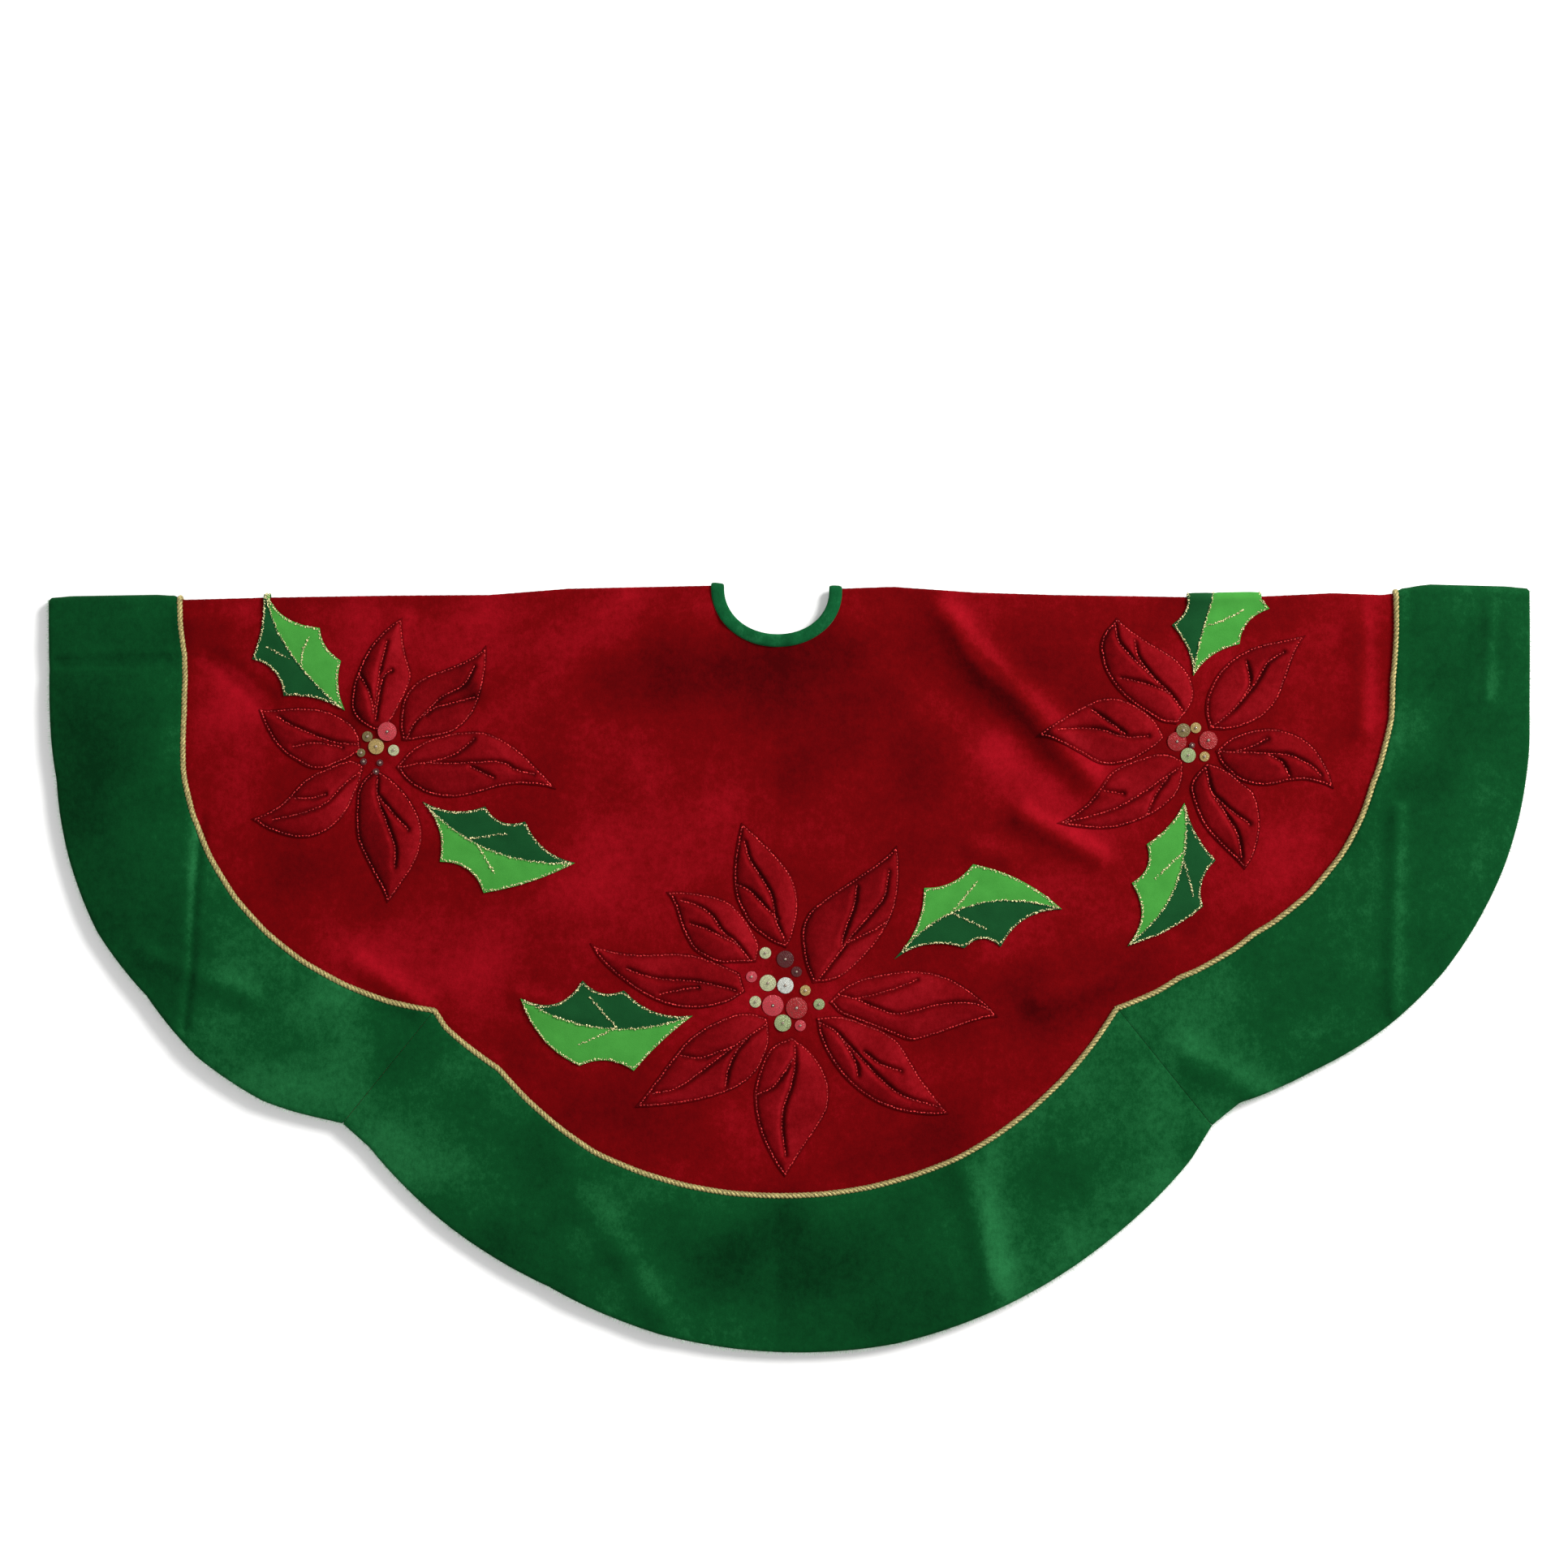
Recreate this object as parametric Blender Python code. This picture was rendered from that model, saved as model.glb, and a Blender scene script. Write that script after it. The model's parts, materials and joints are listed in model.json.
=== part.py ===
"""A scalloped velvet tree skirt with poinsettias and holly, folded in half and laid flat.

Every piece is drawn on the skirt spread open. There the neck's centre is the drawing's origin, X runs
along the fold line, -Y is the front half, +Y is the back half with the slit in its middle, and heights
are counted from the lining side upwards. Three empties on the fold line then place the drawings: the
front half as it is drawn, and each back quarter turned half a turn about X, which lays it face down
under the front. The two back empties are the hinges of the fold.
"""

import math

import bpy

MM = 0.001

# The scallops' outline: radii from the neck's centre, angles in degrees from the front. The back half
# mirrors the front one. A side scallop is an arc in front and an arc behind, and runs straight over
# the fold between them.
CUSP_ANGLE = 39.0  # where the front scallop ends and a side one begins
SIDE_CROWN_ANGLE = 67.0
RIM_CUSP = 0.551
RIM_FRONT_CROWN = 0.611
RIM_SIDE_CROWN = 0.615
CORD_CUSP = 0.432
CORD_FRONT_CROWN = 0.486
CORD_SIDE_CROWN = 0.504
ARC_STEPS = 18  # straight pieces along the front scallop

# The neck, the slit and the fold.
NECK_RADIUS = 0.042
BINDING_WIDTH = 0.010
NECK_STEPS = 16  # straight pieces along half the neck
SLIT_HALF_GAP = 0.001
FOLD_HALF_GAP = 0.00015
GAP = 0.0003  # clearance between pieces that touch on the real skirt

# Thicknesses of the layers.
LINING_THICK = 0.0006
VELVET_THICK = 0.0014
CORD_DIAMETER = 0.0048
PETAL_THICK = 0.0027
LEAF_THICK = 0.0010
SEQUIN_THICK = 0.0015
BINDING_THICK = 0.0040
TAPE_THICK = 0.0010
HEM = 0.003  # how far the lining stays back from the rim

# The hook and loop strips that close the slit.
STRIP_WIDTH = 0.020
STRIP_START = 0.070
STRIP_LENGTH = 0.380
STRIP_INSET = 0.002

# Heights above the fold's middle plane.
LINING_LOW = GAP
FACE_LOW = LINING_LOW + LINING_THICK + GAP
RELIEF_LOW = FACE_LOW + VELVET_THICK + GAP
FACE_HIGH = FACE_LOW + CORD_DIAMETER  # the padded border is as high as the cord beside it
FOLD_HEIGHT = FACE_HIGH
NECK_Y = (RIM_FRONT_CROWN + FOLD_HALF_GAP) / 2  # centres the folded skirt on the origin

# Petals. Sizes in millimetres about the flower's centre: the tip, the base, and how far the outline
# lies to the left and to the right of the line from base to tip at five stations along it. The last
# number is the direction, in degrees, of the seam with the next petal counter-clockwise.
STATIONS = (0.1, 0.3, 0.5, 0.7, 0.9)
PETAL_STEPS = 12
SEAM_HALF_GAP = 0.0002
CENTRE_FLOWER = {
    "at": (7, -324),
    "eye": 22,
    "petals": (
        ("upper_right", (89, 118), (22, 8), (16, 32, 26, 14, 3), (15, 24, 27, 23, 10), 78),
        ("top", (-35, 136), (1, 36), (11, 23, 24, 18, 7), (10, 21, 23, 16, 6), 118),
        ("upper_left", (-95, 81), (-23, 25), (8, 21, 23, 15, 3), (16, 21, 24, 18, 7), 156),
        ("left", (-156, 40), (-32, 1), (14, 26, 28, 22, 11), (18, 17, 12, 3, -1), 196),
        ("lower_left", (-120, -91), (-14, -20), (20, 32, 30, 21, 8), (14, 21, 21, 13, 4), 252),
        ("bottom", (0, -147), (5, -35), (16, 30, 31, 19, 6), (19, 27, 27, 21, 9), 301),
        ("lower_right", (130, -94), (25, -20), (11, 21, 22, 11, 3), (12, 24, 28, 24, 11), 339),
        ("right", (170, -19), (35, -7), (15, 26, 31, 27, 12), (11, 21, 25, 15, 3), 373),
    ),
}
LEFT_FLOWER = {
    "at": (-319, -127),
    "eye": 13,
    "petals": (
        ("upper_right", (87, 85), (20, 5), (11, 22, 19, 8, 0), (15, 27, 29, 22, 9), 62),
        ("top", (20, 111), (1, 10), (21, 27, 25, 20, 9), (14, 15, 17, 8, 2), 130),
        ("left", (-96, 30), (-13, -3), (13, 27, 27, 22, 9), (13, 19, 18, 12, 3), 203),
        ("lower_left", (-102, -58), (-11, -15), (13, 29, 35, 31, 15), (10, 11, 9, 1, -1), 245),
        ("bottom", (8, -125), (-2, -18), (14, 28, 33, 26, 10), (13, 18, 19, 12, 3), 306),
        ("right", (143, -34), (15, -16), (18, 33, 37, 29, 11), (12, 19, 13, 2, -1), 370),
    ),
}
RIGHT_FLOWER = {
    "at": (333, -124),
    "eye": 15,
    "petals": (
        ("upper_right", (88, 91), (13, 11), (15, 25, 27, 21, 7), (12, 23, 23, 13, 3), 82),
        ("upper_left", (-61, 108), (-13, 15), (13, 24, 30, 29, 19), (20, 27, 23, 12, 3), 147),
        ("left", (-126, 5), (-23, 4), (9, 20, 21, 10, 1), (17, 30, 31, 21, 8), 196),
        ("lower_left", (-109, -64), (-8, -14), (18, 27, 27, 22, 9), (12, 17, 17, 5, 0), 260),
        ("lower_right", (44, -103), (11, -16), (11, 24, 26, 21, 10), (17, 21, 20, 13, 4), 321),
        ("right", (113, -37), (18, -6), (15, 28, 32, 28, 13), (11, 17, 13, 2, -1), 375),
    ),
}

# The two flowers of the back half are alike: six equal petals, joined near the eye. A petal's half
# width is given in millimetres at distances from the flower's centre, from the join to the tip.
BACK_FLOWER_ANGLE = 134.0
BACK_FLOWER_REACH = 0.310
BACK_PETALS = 6
BACK_PETAL_REACHES = (42, 58, 76, 94, 110, 122)
BACK_PETAL_WIDTHS = (23.5, 27, 26, 19, 9, 0)
BACK_EYE = 0.014

# Holly leaves. Millimetres from the neck's centre: the six points in order, clockwise from the stem's
# tip, and how hollow each edge between them is, as a share of its length. Less than 0 is a full edge.
LEAF_STEPS = 5
LEAVES = {
    "holly_1": (
        ((-205, -329), (-155, -314), (-122, -322), (-67, -342), (-114, -386), (-158, -383)),
        (0.22, 0.18, 0.13, 0.03, 0.15, -0.13),
    ),
    "holly_2": (
        ((-283, -171), (-233, -175), (-201, -187), (-161, -220), (-234, -244), (-269, -219)),
        (0.115, 0.20, 0.13, -0.04, 0.18, 0.13),
    ),
    "holly_3": (
        ((94, -297), (118, -240), (157, -221), (228, -257), (179, -287), (150, -288)),
        (0.10, 0.13, -0.07, 0.15, 0.24, 0.13),
    ),
    "holly_4": (
        ((326, -172), (351, -218), (345, -258), (283, -289), (284, -236), (296, -205)),
        (0.07, 0.19, -0.06, 0.155, 0.20, 0.07),
    ),
    "holly_5": (
        ((-345, -98), (-394, -86), (-421, -54), (-411, 13), (-365, -25), (-348, -56)),
        (0.08, 0.18, 0.06, 0.16, 0.12, 0.09),
    ),
    "holly_6": (
        ((333, -69), (316, -22), (320, 21), (373, 55), (394, -8), (370, -40)),
        (0.08, 0.25, 0.12, 0.12, 0.17, 0.11),
    ),
}
# The leaves of the back half: which leaf is copied, its turn in degrees, and its middle, on the left;
# the right side mirrors them.
BACK_LEAVES = (("holly_1", -115.0, (-149, 343)), ("holly_2", -98.0, (-295, 91)))

# The three pieces the folded skirt is divided into, with the angles each one covers.
HALVES = {
    "front": (-90.0, 90.0),
    "back_left": (-180.0, -90.0),
    "back_right": (90.0, 180.0),
}

# Cusp, front crown and side crown of the two lines that follow the scallops.
LINES = {
    "rim": (RIM_CUSP, RIM_FRONT_CROWN, RIM_SIDE_CROWN),
    "cord": (CORD_CUSP, CORD_FRONT_CROWN, CORD_SIDE_CROWN),
}

# Colour, roughness and metallic value of each material.
LOOKS = {
    "red_velvet": ((0.33, 0.004, 0.010), 0.85),
    "petal_velvet": ((0.30, 0.004, 0.009), 0.80),
    "green_velvet": ((0.006, 0.105, 0.022), 0.85),
    "binding": ((0.008, 0.14, 0.035), 0.85),
    "lining": ((0.26, 0.006, 0.012), 0.45),
    "gold_cord": ((0.58, 0.44, 0.16), 0.35, 0.6),
    "leaf": ((0.02, 0.22, 0.05), 0.85),
    "sequins": ((0.75, 0.62, 0.42), 0.25, 0.5),
    "tape": ((0.10, 0.10, 0.10), 0.9),
}


# --- geometry of the outline ---------------------------------------------------------------------


def polar(radius, degrees):
    """The point at a radius from the neck, at an angle counted from the front towards +X."""
    turn = math.radians(degrees)
    return (radius * math.sin(turn), -radius * math.cos(turn))


def scallop_circle(crown, cusp, half_angle):
    """How far a scallop's circle has its centre from the neck, and the circle's radius."""
    reach = cusp * math.cos(math.radians(half_angle))
    centre = (crown**2 - cusp**2) / (2 * (crown - reach))
    return centre, crown - centre


def edge_radius(degrees, line, offset=0.0):
    """Radius of the rim or of the cord's line at an angle from the front, moved out by an offset.

    A scallop is a circle's arc. A side one goes on straight over the fold from its widest point.
    """
    angle = min(abs(degrees), 180.0 - abs(degrees))
    cusp, front, side = LINES[line]
    crown_angle = 0.0 if angle <= CUSP_ANGLE else SIDE_CROWN_ANGLE
    crown = front if angle <= CUSP_ANGLE else side
    centre, radius = scallop_circle(crown, cusp, abs(crown_angle - CUSP_ANGLE))
    turn = math.radians(angle - crown_angle)
    across = centre * math.sin(turn)
    reach = centre * math.cos(turn) + math.sqrt((radius + offset) ** 2 - across**2)
    widest = centre * math.sin(math.radians(SIDE_CROWN_ANGLE)) + radius + offset
    turned = math.atan2(widest, centre * math.cos(math.radians(SIDE_CROWN_ANGLE)))
    if math.radians(angle) > turned:
        return widest / math.sin(math.radians(angle))
    return reach


def arc_angles(start, end):
    """Angles along the outline. Every cusp and the fold are met exactly."""
    marks = [-180.0 + CUSP_ANGLE, -90.0, -CUSP_ANGLE, CUSP_ANGLE, 90.0, 180.0 - CUSP_ANGLE]
    stops = [start] + [mark for mark in marks if start < mark < end] + [end]
    angles = []
    for low, high in zip(stops, stops[1:]):
        steps = max(2, round(ARC_STEPS * (high - low) / (2 * CUSP_ANGLE)))
        angles += [low + (high - low) * k / steps for k in range(steps)]
    return angles + [end]


def edge_arc(start, end, line, offset=0.0):
    """Points along the rim or the cord's line, moved outwards by an offset."""
    return [polar(edge_radius(a, line, offset), a) for a in arc_angles(start, end)]


def neck_arc(start, end, radius):
    steps = max(2, round(NECK_STEPS * (end - start) / 180.0))
    return [polar(radius, start + (end - start) * k / steps) for k in range(steps + 1)]


def clip(points, normal, level):
    """The part of an outline on the side of a line that its normal points away from."""
    kept = []
    for a, b in zip(points, points[1:] + points[:1]):
        off_a = a[0] * normal[0] + a[1] * normal[1] - level
        off_b = b[0] * normal[0] + b[1] * normal[1] - level
        if off_a <= 0:
            kept.append(a)
        if off_a * off_b < 0.0:
            share = off_a / (off_a - off_b)
            kept.append((a[0] + (b[0] - a[0]) * share, a[1] + (b[1] - a[1]) * share))
    return kept


def cut_to(points, half):
    """Cuts an outline at the fold line, and on a back quarter at the slit too."""
    if half == "front":
        return clip(points, (0, 1), -FOLD_HALF_GAP)
    points = clip(points, (0, -1), -FOLD_HALF_GAP)
    side = 1 if half == "back_left" else -1
    return clip(points, (side, 0), -SLIT_HALF_GAP)


# --- petals and leaves ---------------------------------------------------------------------------


def smooth_value(xs, ys, x):
    """A smooth curve through the given points, with slopes taken from their neighbours."""
    k = max(i for i in range(len(xs) - 1) if xs[i] <= x)
    slopes = []
    for i in (k, k + 1):
        low, high = max(i - 1, 0), min(i + 1, len(xs) - 1)
        slopes.append((ys[high] - ys[low]) / (xs[high] - xs[low]))
    step = xs[k + 1] - xs[k]
    t = (x - xs[k]) / step
    value = ys[k] * (1 + 2 * t) * (1 - t) ** 2 + ys[k + 1] * t * t * (3 - 2 * t)
    return value + step * (slopes[0] * t * (1 - t) ** 2 - slopes[1] * t * t * (1 - t))


def turned_point(x, y, turn, at):
    """A point turned about the origin by radians, then moved."""
    cosine, sine = math.cos(turn), math.sin(turn)
    return (at[0] + x * cosine - y * sine, at[1] + x * sine + y * cosine)


def degrees_from(angle, heading):
    """An angle counted from a heading, between -180 and 180 degrees."""
    return (angle - heading + 180) % 360 - 180


def between_seams(point, heading, low, high, eye):
    """Keeps a point of a petal between the petal's seams and off the flower's eye."""
    radius = max(math.hypot(*point), eye + GAP)
    gap = math.degrees(SEAM_HALF_GAP / radius)
    first = degrees_from(low, heading) + gap
    last = degrees_from(high, heading) - gap
    off = degrees_from(math.degrees(math.atan2(point[1], point[0])), heading)
    angle = math.radians(heading + min(max(off, first), last))
    return (radius * math.cos(angle), radius * math.sin(angle))


def petal_outline(tip, base, left, right, low, high, eye):
    """A petal's outline about its flower's centre, counter-clockwise from its base."""
    along = (tip[0] - base[0], tip[1] - base[1])
    length = math.hypot(*along)
    across = (-along[1] / length, along[0] / length)
    heading = math.degrees(math.atan2(tip[1], tip[0]))
    stations = (0.0, *STATIONS, 1.0)
    shares = [(1 - math.cos(math.pi * k / PETAL_STEPS)) / 2 for k in range(PETAL_STEPS + 1)]
    outline = []
    for sign, widths, order in ((-1, right, shares), (1, left, shares[-2:0:-1])):
        for share in order:
            wide = sign * smooth_value(stations, (0.0, *widths, 0.0), share)
            point = [base[i] + along[i] * share + across[i] * wide for i in (0, 1)]
            outline.append(between_seams(point, heading, low, high, eye))
    return [p for p, q in zip(outline, outline[1:] + outline[:1]) if math.dist(p, q) > GAP]


def flower_petals(flower):
    """The name of each petal, and its outline about the neck's centre."""
    at = [value * MM for value in flower["at"]]
    petals = flower["petals"]
    for k, (name, tip, base, left, right, high) in enumerate(petals):
        low = petals[k - 1][-1]
        metres = [tuple(value * MM for value in values) for values in (tip, base, left, right)]
        outline = petal_outline(*metres, low, high, flower["eye"] * MM)
        yield name, [(at[0] + x, at[1] + y) for x, y in outline]


def back_flower_outline(at):
    """Equal petals joined near the eye into one outline."""
    first, last = BACK_PETAL_REACHES[0], BACK_PETAL_REACHES[-1]
    side = []
    for k in range(PETAL_STEPS + 1):
        reach = first + (last - first) * k / PETAL_STEPS
        side.append((reach * MM, smooth_value(BACK_PETAL_REACHES, BACK_PETAL_WIDTHS, reach) * MM))
    petal = [(x, -y) for x, y in side] + side[-2::-1]
    outline = []
    for k in range(BACK_PETALS):
        turn = 2 * math.pi * (k + 0.5) / BACK_PETALS
        outline += [turned_point(x, y, turn, at) for x, y in petal]
    return outline


def circle(at, radius, steps=20):
    turns = [2 * math.pi * k / steps for k in range(steps)]
    return [(at[0] + radius * math.cos(t), at[1] + radius * math.sin(t)) for t in turns]


def leaf_outline(corners, hollows):
    """A holly leaf: its points in metres, with hollow edges between them."""
    corners = [(x * MM, y * MM) for x, y in corners]
    outline = []
    for a, b, hollow in zip(corners, corners[1:] + corners[:1], hollows):
        edge = (b[0] - a[0], b[1] - a[1])
        for k in range(LEAF_STEPS):
            t = k / LEAF_STEPS
            sink = 4 * hollow * t * (1 - t)
            outline.append((a[0] + edge[0] * t + edge[1] * sink, a[1] + edge[1] * t - edge[0] * sink))
    return outline


def moved_leaf(name, turn, at, side):
    """A front leaf's outline turned about its middle and laid at a new place; side -1 mirrors it."""
    outline = leaf_outline(*LEAVES[name])
    middle = [sum(p[i] for p in outline) / len(outline) for i in (0, 1)]
    turn, at = math.radians(turn), [value * MM for value in at]
    moved = [turned_point(x - middle[0], y - middle[1], turn, at) for x, y in outline]
    return [(side * x, y) for x, y in moved]


# --- objects -------------------------------------------------------------------------------------


def clear_scene():
    for obj in list(bpy.data.objects):
        bpy.data.objects.remove(obj, do_unlink=True)


def make_material(name, colour, roughness, metallic=0.0):
    material = bpy.data.materials.new(name)
    material.use_nodes = True
    shader = material.node_tree.nodes["Principled BSDF"]
    shader.inputs["Base Color"].default_value = (*colour, 1.0)
    shader.inputs["Roughness"].default_value = roughness
    shader.inputs["Metallic"].default_value = metallic
    return material


def make_hinges(collection):
    """The empties on the fold line that the three halves and quarters hang on."""
    hinges = {}
    for half in HALVES:
        empty = bpy.data.objects.new(f"{half}_hinge", None)
        empty.location = (0.0, NECK_Y, FOLD_HEIGHT)
        empty.rotation_euler = (0.0 if half == "front" else math.pi, 0.0, 0.0)
        collection.objects.link(empty)
        hinges[half] = empty
    return hinges


class Skirt:
    """Adds the skirt's pieces to its collection, each on the empty of its half."""

    def __init__(self):
        self.collection = bpy.data.collections.new("tree_skirt")
        bpy.context.scene.collection.children.link(self.collection)
        self.hinges = make_hinges(self.collection)
        self.materials = {name: make_material(name, *look) for name, look in LOOKS.items()}

    def add(self, name, curve, half, height, look):
        curve.materials.append(self.materials[look])
        piece = bpy.data.objects.new(name, curve)
        piece.parent = self.hinges[half]
        piece.location.z = height
        self.collection.objects.link(piece)

    def plate(self, name, outlines, low, thick, half, look):
        """A flat piece of cloth with the given outlines, the second one a hole in the first."""
        curve = bpy.data.curves.new(name, "CURVE")
        curve.dimensions = "2D"
        curve.fill_mode = "BOTH"
        curve.extrude = thick / 2
        for outline in outlines:
            add_spline(curve, outline, closed=True)
        self.add(name, curve, half, low + thick / 2, look)

    def tube(self, name, points, diameter, low, half, look):
        """A round cord along the given points."""
        curve = bpy.data.curves.new(name, "CURVE")
        curve.dimensions = "3D"
        curve.bevel_depth = diameter / 2
        curve.bevel_resolution = 2
        curve.use_fill_caps = True
        add_spline(curve, points, closed=False)
        self.add(name, curve, half, low + diameter / 2, look)


def add_spline(curve, points, closed):
    spline = curve.splines.new("POLY")
    spline.points.add(len(points) - 1)
    for target, (x, y) in zip(spline.points, points):
        target.co = (x, y, 0.0, 1.0)
    spline.use_cyclic_u = closed


# --- the skirt's pieces --------------------------------------------------------------------------


def add_cloth(skirt):
    """Lining, red panel, neck binding and gold cord of the front half and of each back quarter."""
    beside_cord = CORD_DIAMETER / 2 + GAP
    inner = NECK_RADIUS + BINDING_WIDTH + GAP
    for half, (start, end) in HALVES.items():
        neck = neck_arc(start, end, inner)[::-1]
        panel = edge_arc(start, end, "cord", -beside_cord) + neck
        skirt.plate(
            f"red_panel_{half}", [cut_to(panel, half)], FACE_LOW, VELVET_THICK, half, "red_velvet"
        )
        lining = cut_to(edge_arc(start, end, "rim", -HEM) + neck, half)
        if half == "back_left":
            lining = clip(lining, (1, 0), -(STRIP_INSET + STRIP_WIDTH + GAP))
        skirt.plate(f"lining_{half}", [lining], LINING_LOW, LINING_THICK, half, "lining")
        binding = neck_arc(start, end, NECK_RADIUS + BINDING_WIDTH)
        binding += neck_arc(start, end, NECK_RADIUS)[::-1]
        skirt.plate(
            f"neck_binding_{half}", [cut_to(binding, half)], LINING_LOW, BINDING_THICK, half, "binding"
        )
        add_cord(skirt, half, start, end)


def add_cord(skirt, half, start, end):
    """The twisted cord over the seam of panel and border, ending just short of fold and slit."""
    points = []
    for x, y in edge_arc(start, end, "cord"):
        if half == "front":
            points.append((x, min(y, -FOLD_HALF_GAP)))
        else:
            x = math.copysign(max(abs(x), SLIT_HALF_GAP), start + end)
            points.append((x, max(y, FOLD_HALF_GAP)))
    skirt.tube(f"gold_cord_{half}", points, CORD_DIAMETER, FACE_LOW, half, "gold_cord")


def add_border(skirt):
    """Padded scallops. The fold cuts each side one in two, and the slit cuts the back one."""
    scallops = (
        (-CUSP_ANGLE, CUSP_ANGLE, (("border_front", "front"),)),
        (
            -180.0 + CUSP_ANGLE,
            -CUSP_ANGLE,
            (("border_left_front", "front"), ("border_left_back", "back_left")),
        ),
        (
            CUSP_ANGLE,
            180.0 - CUSP_ANGLE,
            (("border_right_front", "front"), ("border_right_back", "back_right")),
        ),
        (-180.0, -180.0 + CUSP_ANGLE, (("border_back_left", "back_left"),)),
        (180.0 - CUSP_ANGLE, 180.0, (("border_back_right", "back_right"),)),
    )
    seam = math.degrees(GAP / 2 / CORD_CUSP)
    beside_cord = CORD_DIAMETER / 2 + GAP
    for start, end, parts in scallops:
        outer = edge_arc(start + seam, end - seam, "rim")
        inner = edge_arc(start + seam, end - seam, "cord", beside_cord)[::-1]
        for name, half in parts:
            skirt.plate(
                name, [cut_to(outer + inner, half)], FACE_LOW, CORD_DIAMETER, half, "green_velvet"
            )


def add_front_flowers(skirt):
    """Padded petals round a cluster of sequins."""
    flowers = (("centre", CENTRE_FLOWER), ("left", LEFT_FLOWER), ("right", RIGHT_FLOWER))
    for place, flower in flowers:
        for name, outline in flower_petals(flower):
            skirt.plate(
                f"petal_{place}_{name}", [outline], RELIEF_LOW, PETAL_THICK, "front", "petal_velvet"
            )
        eye = circle([value * MM for value in flower["at"]], flower["eye"] * MM)
        skirt.plate(f"sequins_{place}", [eye], RELIEF_LOW, SEQUIN_THICK, "front", "sequins")


def add_back_flowers(skirt):
    for half, side in (("back_left", -1), ("back_right", 1)):
        at = polar(BACK_FLOWER_REACH, side * BACK_FLOWER_ANGLE)
        outlines = [back_flower_outline(at), circle(at, BACK_EYE + GAP)]
        skirt.plate(f"petals_{half}", outlines, RELIEF_LOW, PETAL_THICK, half, "petal_velvet")
        skirt.plate(
            f"sequins_{half}", [circle(at, BACK_EYE)], RELIEF_LOW, SEQUIN_THICK, half, "sequins"
        )


def add_leaves(skirt):
    """Holly leaves. One that crosses the fold line is cut there into a front and a back part."""
    for name, (corners, hollows) in LEAVES.items():
        outline = leaf_outline(corners, hollows)
        if max(y for x, y in outline) < 0:
            skirt.plate(name, [outline], RELIEF_LOW, LEAF_THICK, "front", "leaf")
            continue
        back = "back_left" if corners[0][0] < 0 else "back_right"
        for suffix, half in (("front", "front"), ("back", back)):
            skirt.plate(
                f"{name}_{suffix}", [cut_to(outline, half)], RELIEF_LOW, LEAF_THICK, half, "leaf"
            )
    number = len(LEAVES)
    for half, side in (("back_left", 1), ("back_right", -1)):
        for copied, turn, at in BACK_LEAVES:
            number += 1
            outline = moved_leaf(copied, turn, at, side)
            skirt.plate(f"holly_{number}", [outline], RELIEF_LOW, LEAF_THICK, half, "leaf")


def add_closure(skirt):
    """Hook tape in place of the lining along one edge of the slit, loop tape on the other's face."""
    near, far = STRIP_START, STRIP_START + STRIP_LENGTH
    inner, outer = STRIP_INSET, STRIP_INSET + STRIP_WIDTH
    hook = [(-outer, near), (-inner, near), (-inner, far), (-outer, far)]
    loop = [(inner, near), (outer, near), (outer, far), (inner, far)]
    skirt.plate("hook_strip", [hook], LINING_LOW, LINING_THICK, "back_left", "tape")
    skirt.plate("loop_strip", [loop], RELIEF_LOW, TAPE_THICK, "back_right", "tape")


def main():
    clear_scene()
    skirt = Skirt()
    add_cloth(skirt)
    add_border(skirt)
    add_front_flowers(skirt)
    add_back_flowers(skirt)
    add_leaves(skirt)
    add_closure(skirt)


main()
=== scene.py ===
"""A scalloped velvet tree skirt with padded poinsettias and holly, folded in half and laid on a floor.

Everything is shaped on the skirt spread open: x along the fold line, y away from it, below 0 on the
front half and above 0 on the back half, and heights counted from the middle plane of the fold towards
the velvet's face. laid() then folds a point: the front half lies face up, the back half face down under
it, and the cloth runs round the fold between them.
"""

import json
import math

import bpy
import numpy as np
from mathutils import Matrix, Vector
from mathutils.geometry import delaunay_2d_cdt

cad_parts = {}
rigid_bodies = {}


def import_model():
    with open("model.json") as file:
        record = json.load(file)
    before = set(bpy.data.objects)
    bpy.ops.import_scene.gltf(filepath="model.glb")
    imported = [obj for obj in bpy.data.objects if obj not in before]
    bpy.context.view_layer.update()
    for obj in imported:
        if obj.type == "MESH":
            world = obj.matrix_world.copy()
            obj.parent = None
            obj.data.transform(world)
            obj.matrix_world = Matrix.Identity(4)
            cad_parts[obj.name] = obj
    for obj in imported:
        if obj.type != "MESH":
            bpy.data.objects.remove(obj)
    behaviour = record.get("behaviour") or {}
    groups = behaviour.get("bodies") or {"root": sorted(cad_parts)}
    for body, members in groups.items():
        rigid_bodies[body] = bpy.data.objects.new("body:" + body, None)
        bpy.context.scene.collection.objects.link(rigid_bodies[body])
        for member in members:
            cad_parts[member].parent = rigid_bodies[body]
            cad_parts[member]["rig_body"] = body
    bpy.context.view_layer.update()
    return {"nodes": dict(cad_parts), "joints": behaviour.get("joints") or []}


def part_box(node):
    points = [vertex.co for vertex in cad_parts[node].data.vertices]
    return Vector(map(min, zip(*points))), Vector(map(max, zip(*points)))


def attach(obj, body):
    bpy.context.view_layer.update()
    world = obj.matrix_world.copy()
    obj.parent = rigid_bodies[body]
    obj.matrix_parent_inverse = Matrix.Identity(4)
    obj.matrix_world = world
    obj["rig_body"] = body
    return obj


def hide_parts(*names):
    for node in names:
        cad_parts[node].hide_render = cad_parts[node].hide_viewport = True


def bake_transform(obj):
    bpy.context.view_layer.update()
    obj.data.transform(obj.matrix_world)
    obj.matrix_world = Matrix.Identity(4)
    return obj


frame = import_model()

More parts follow.
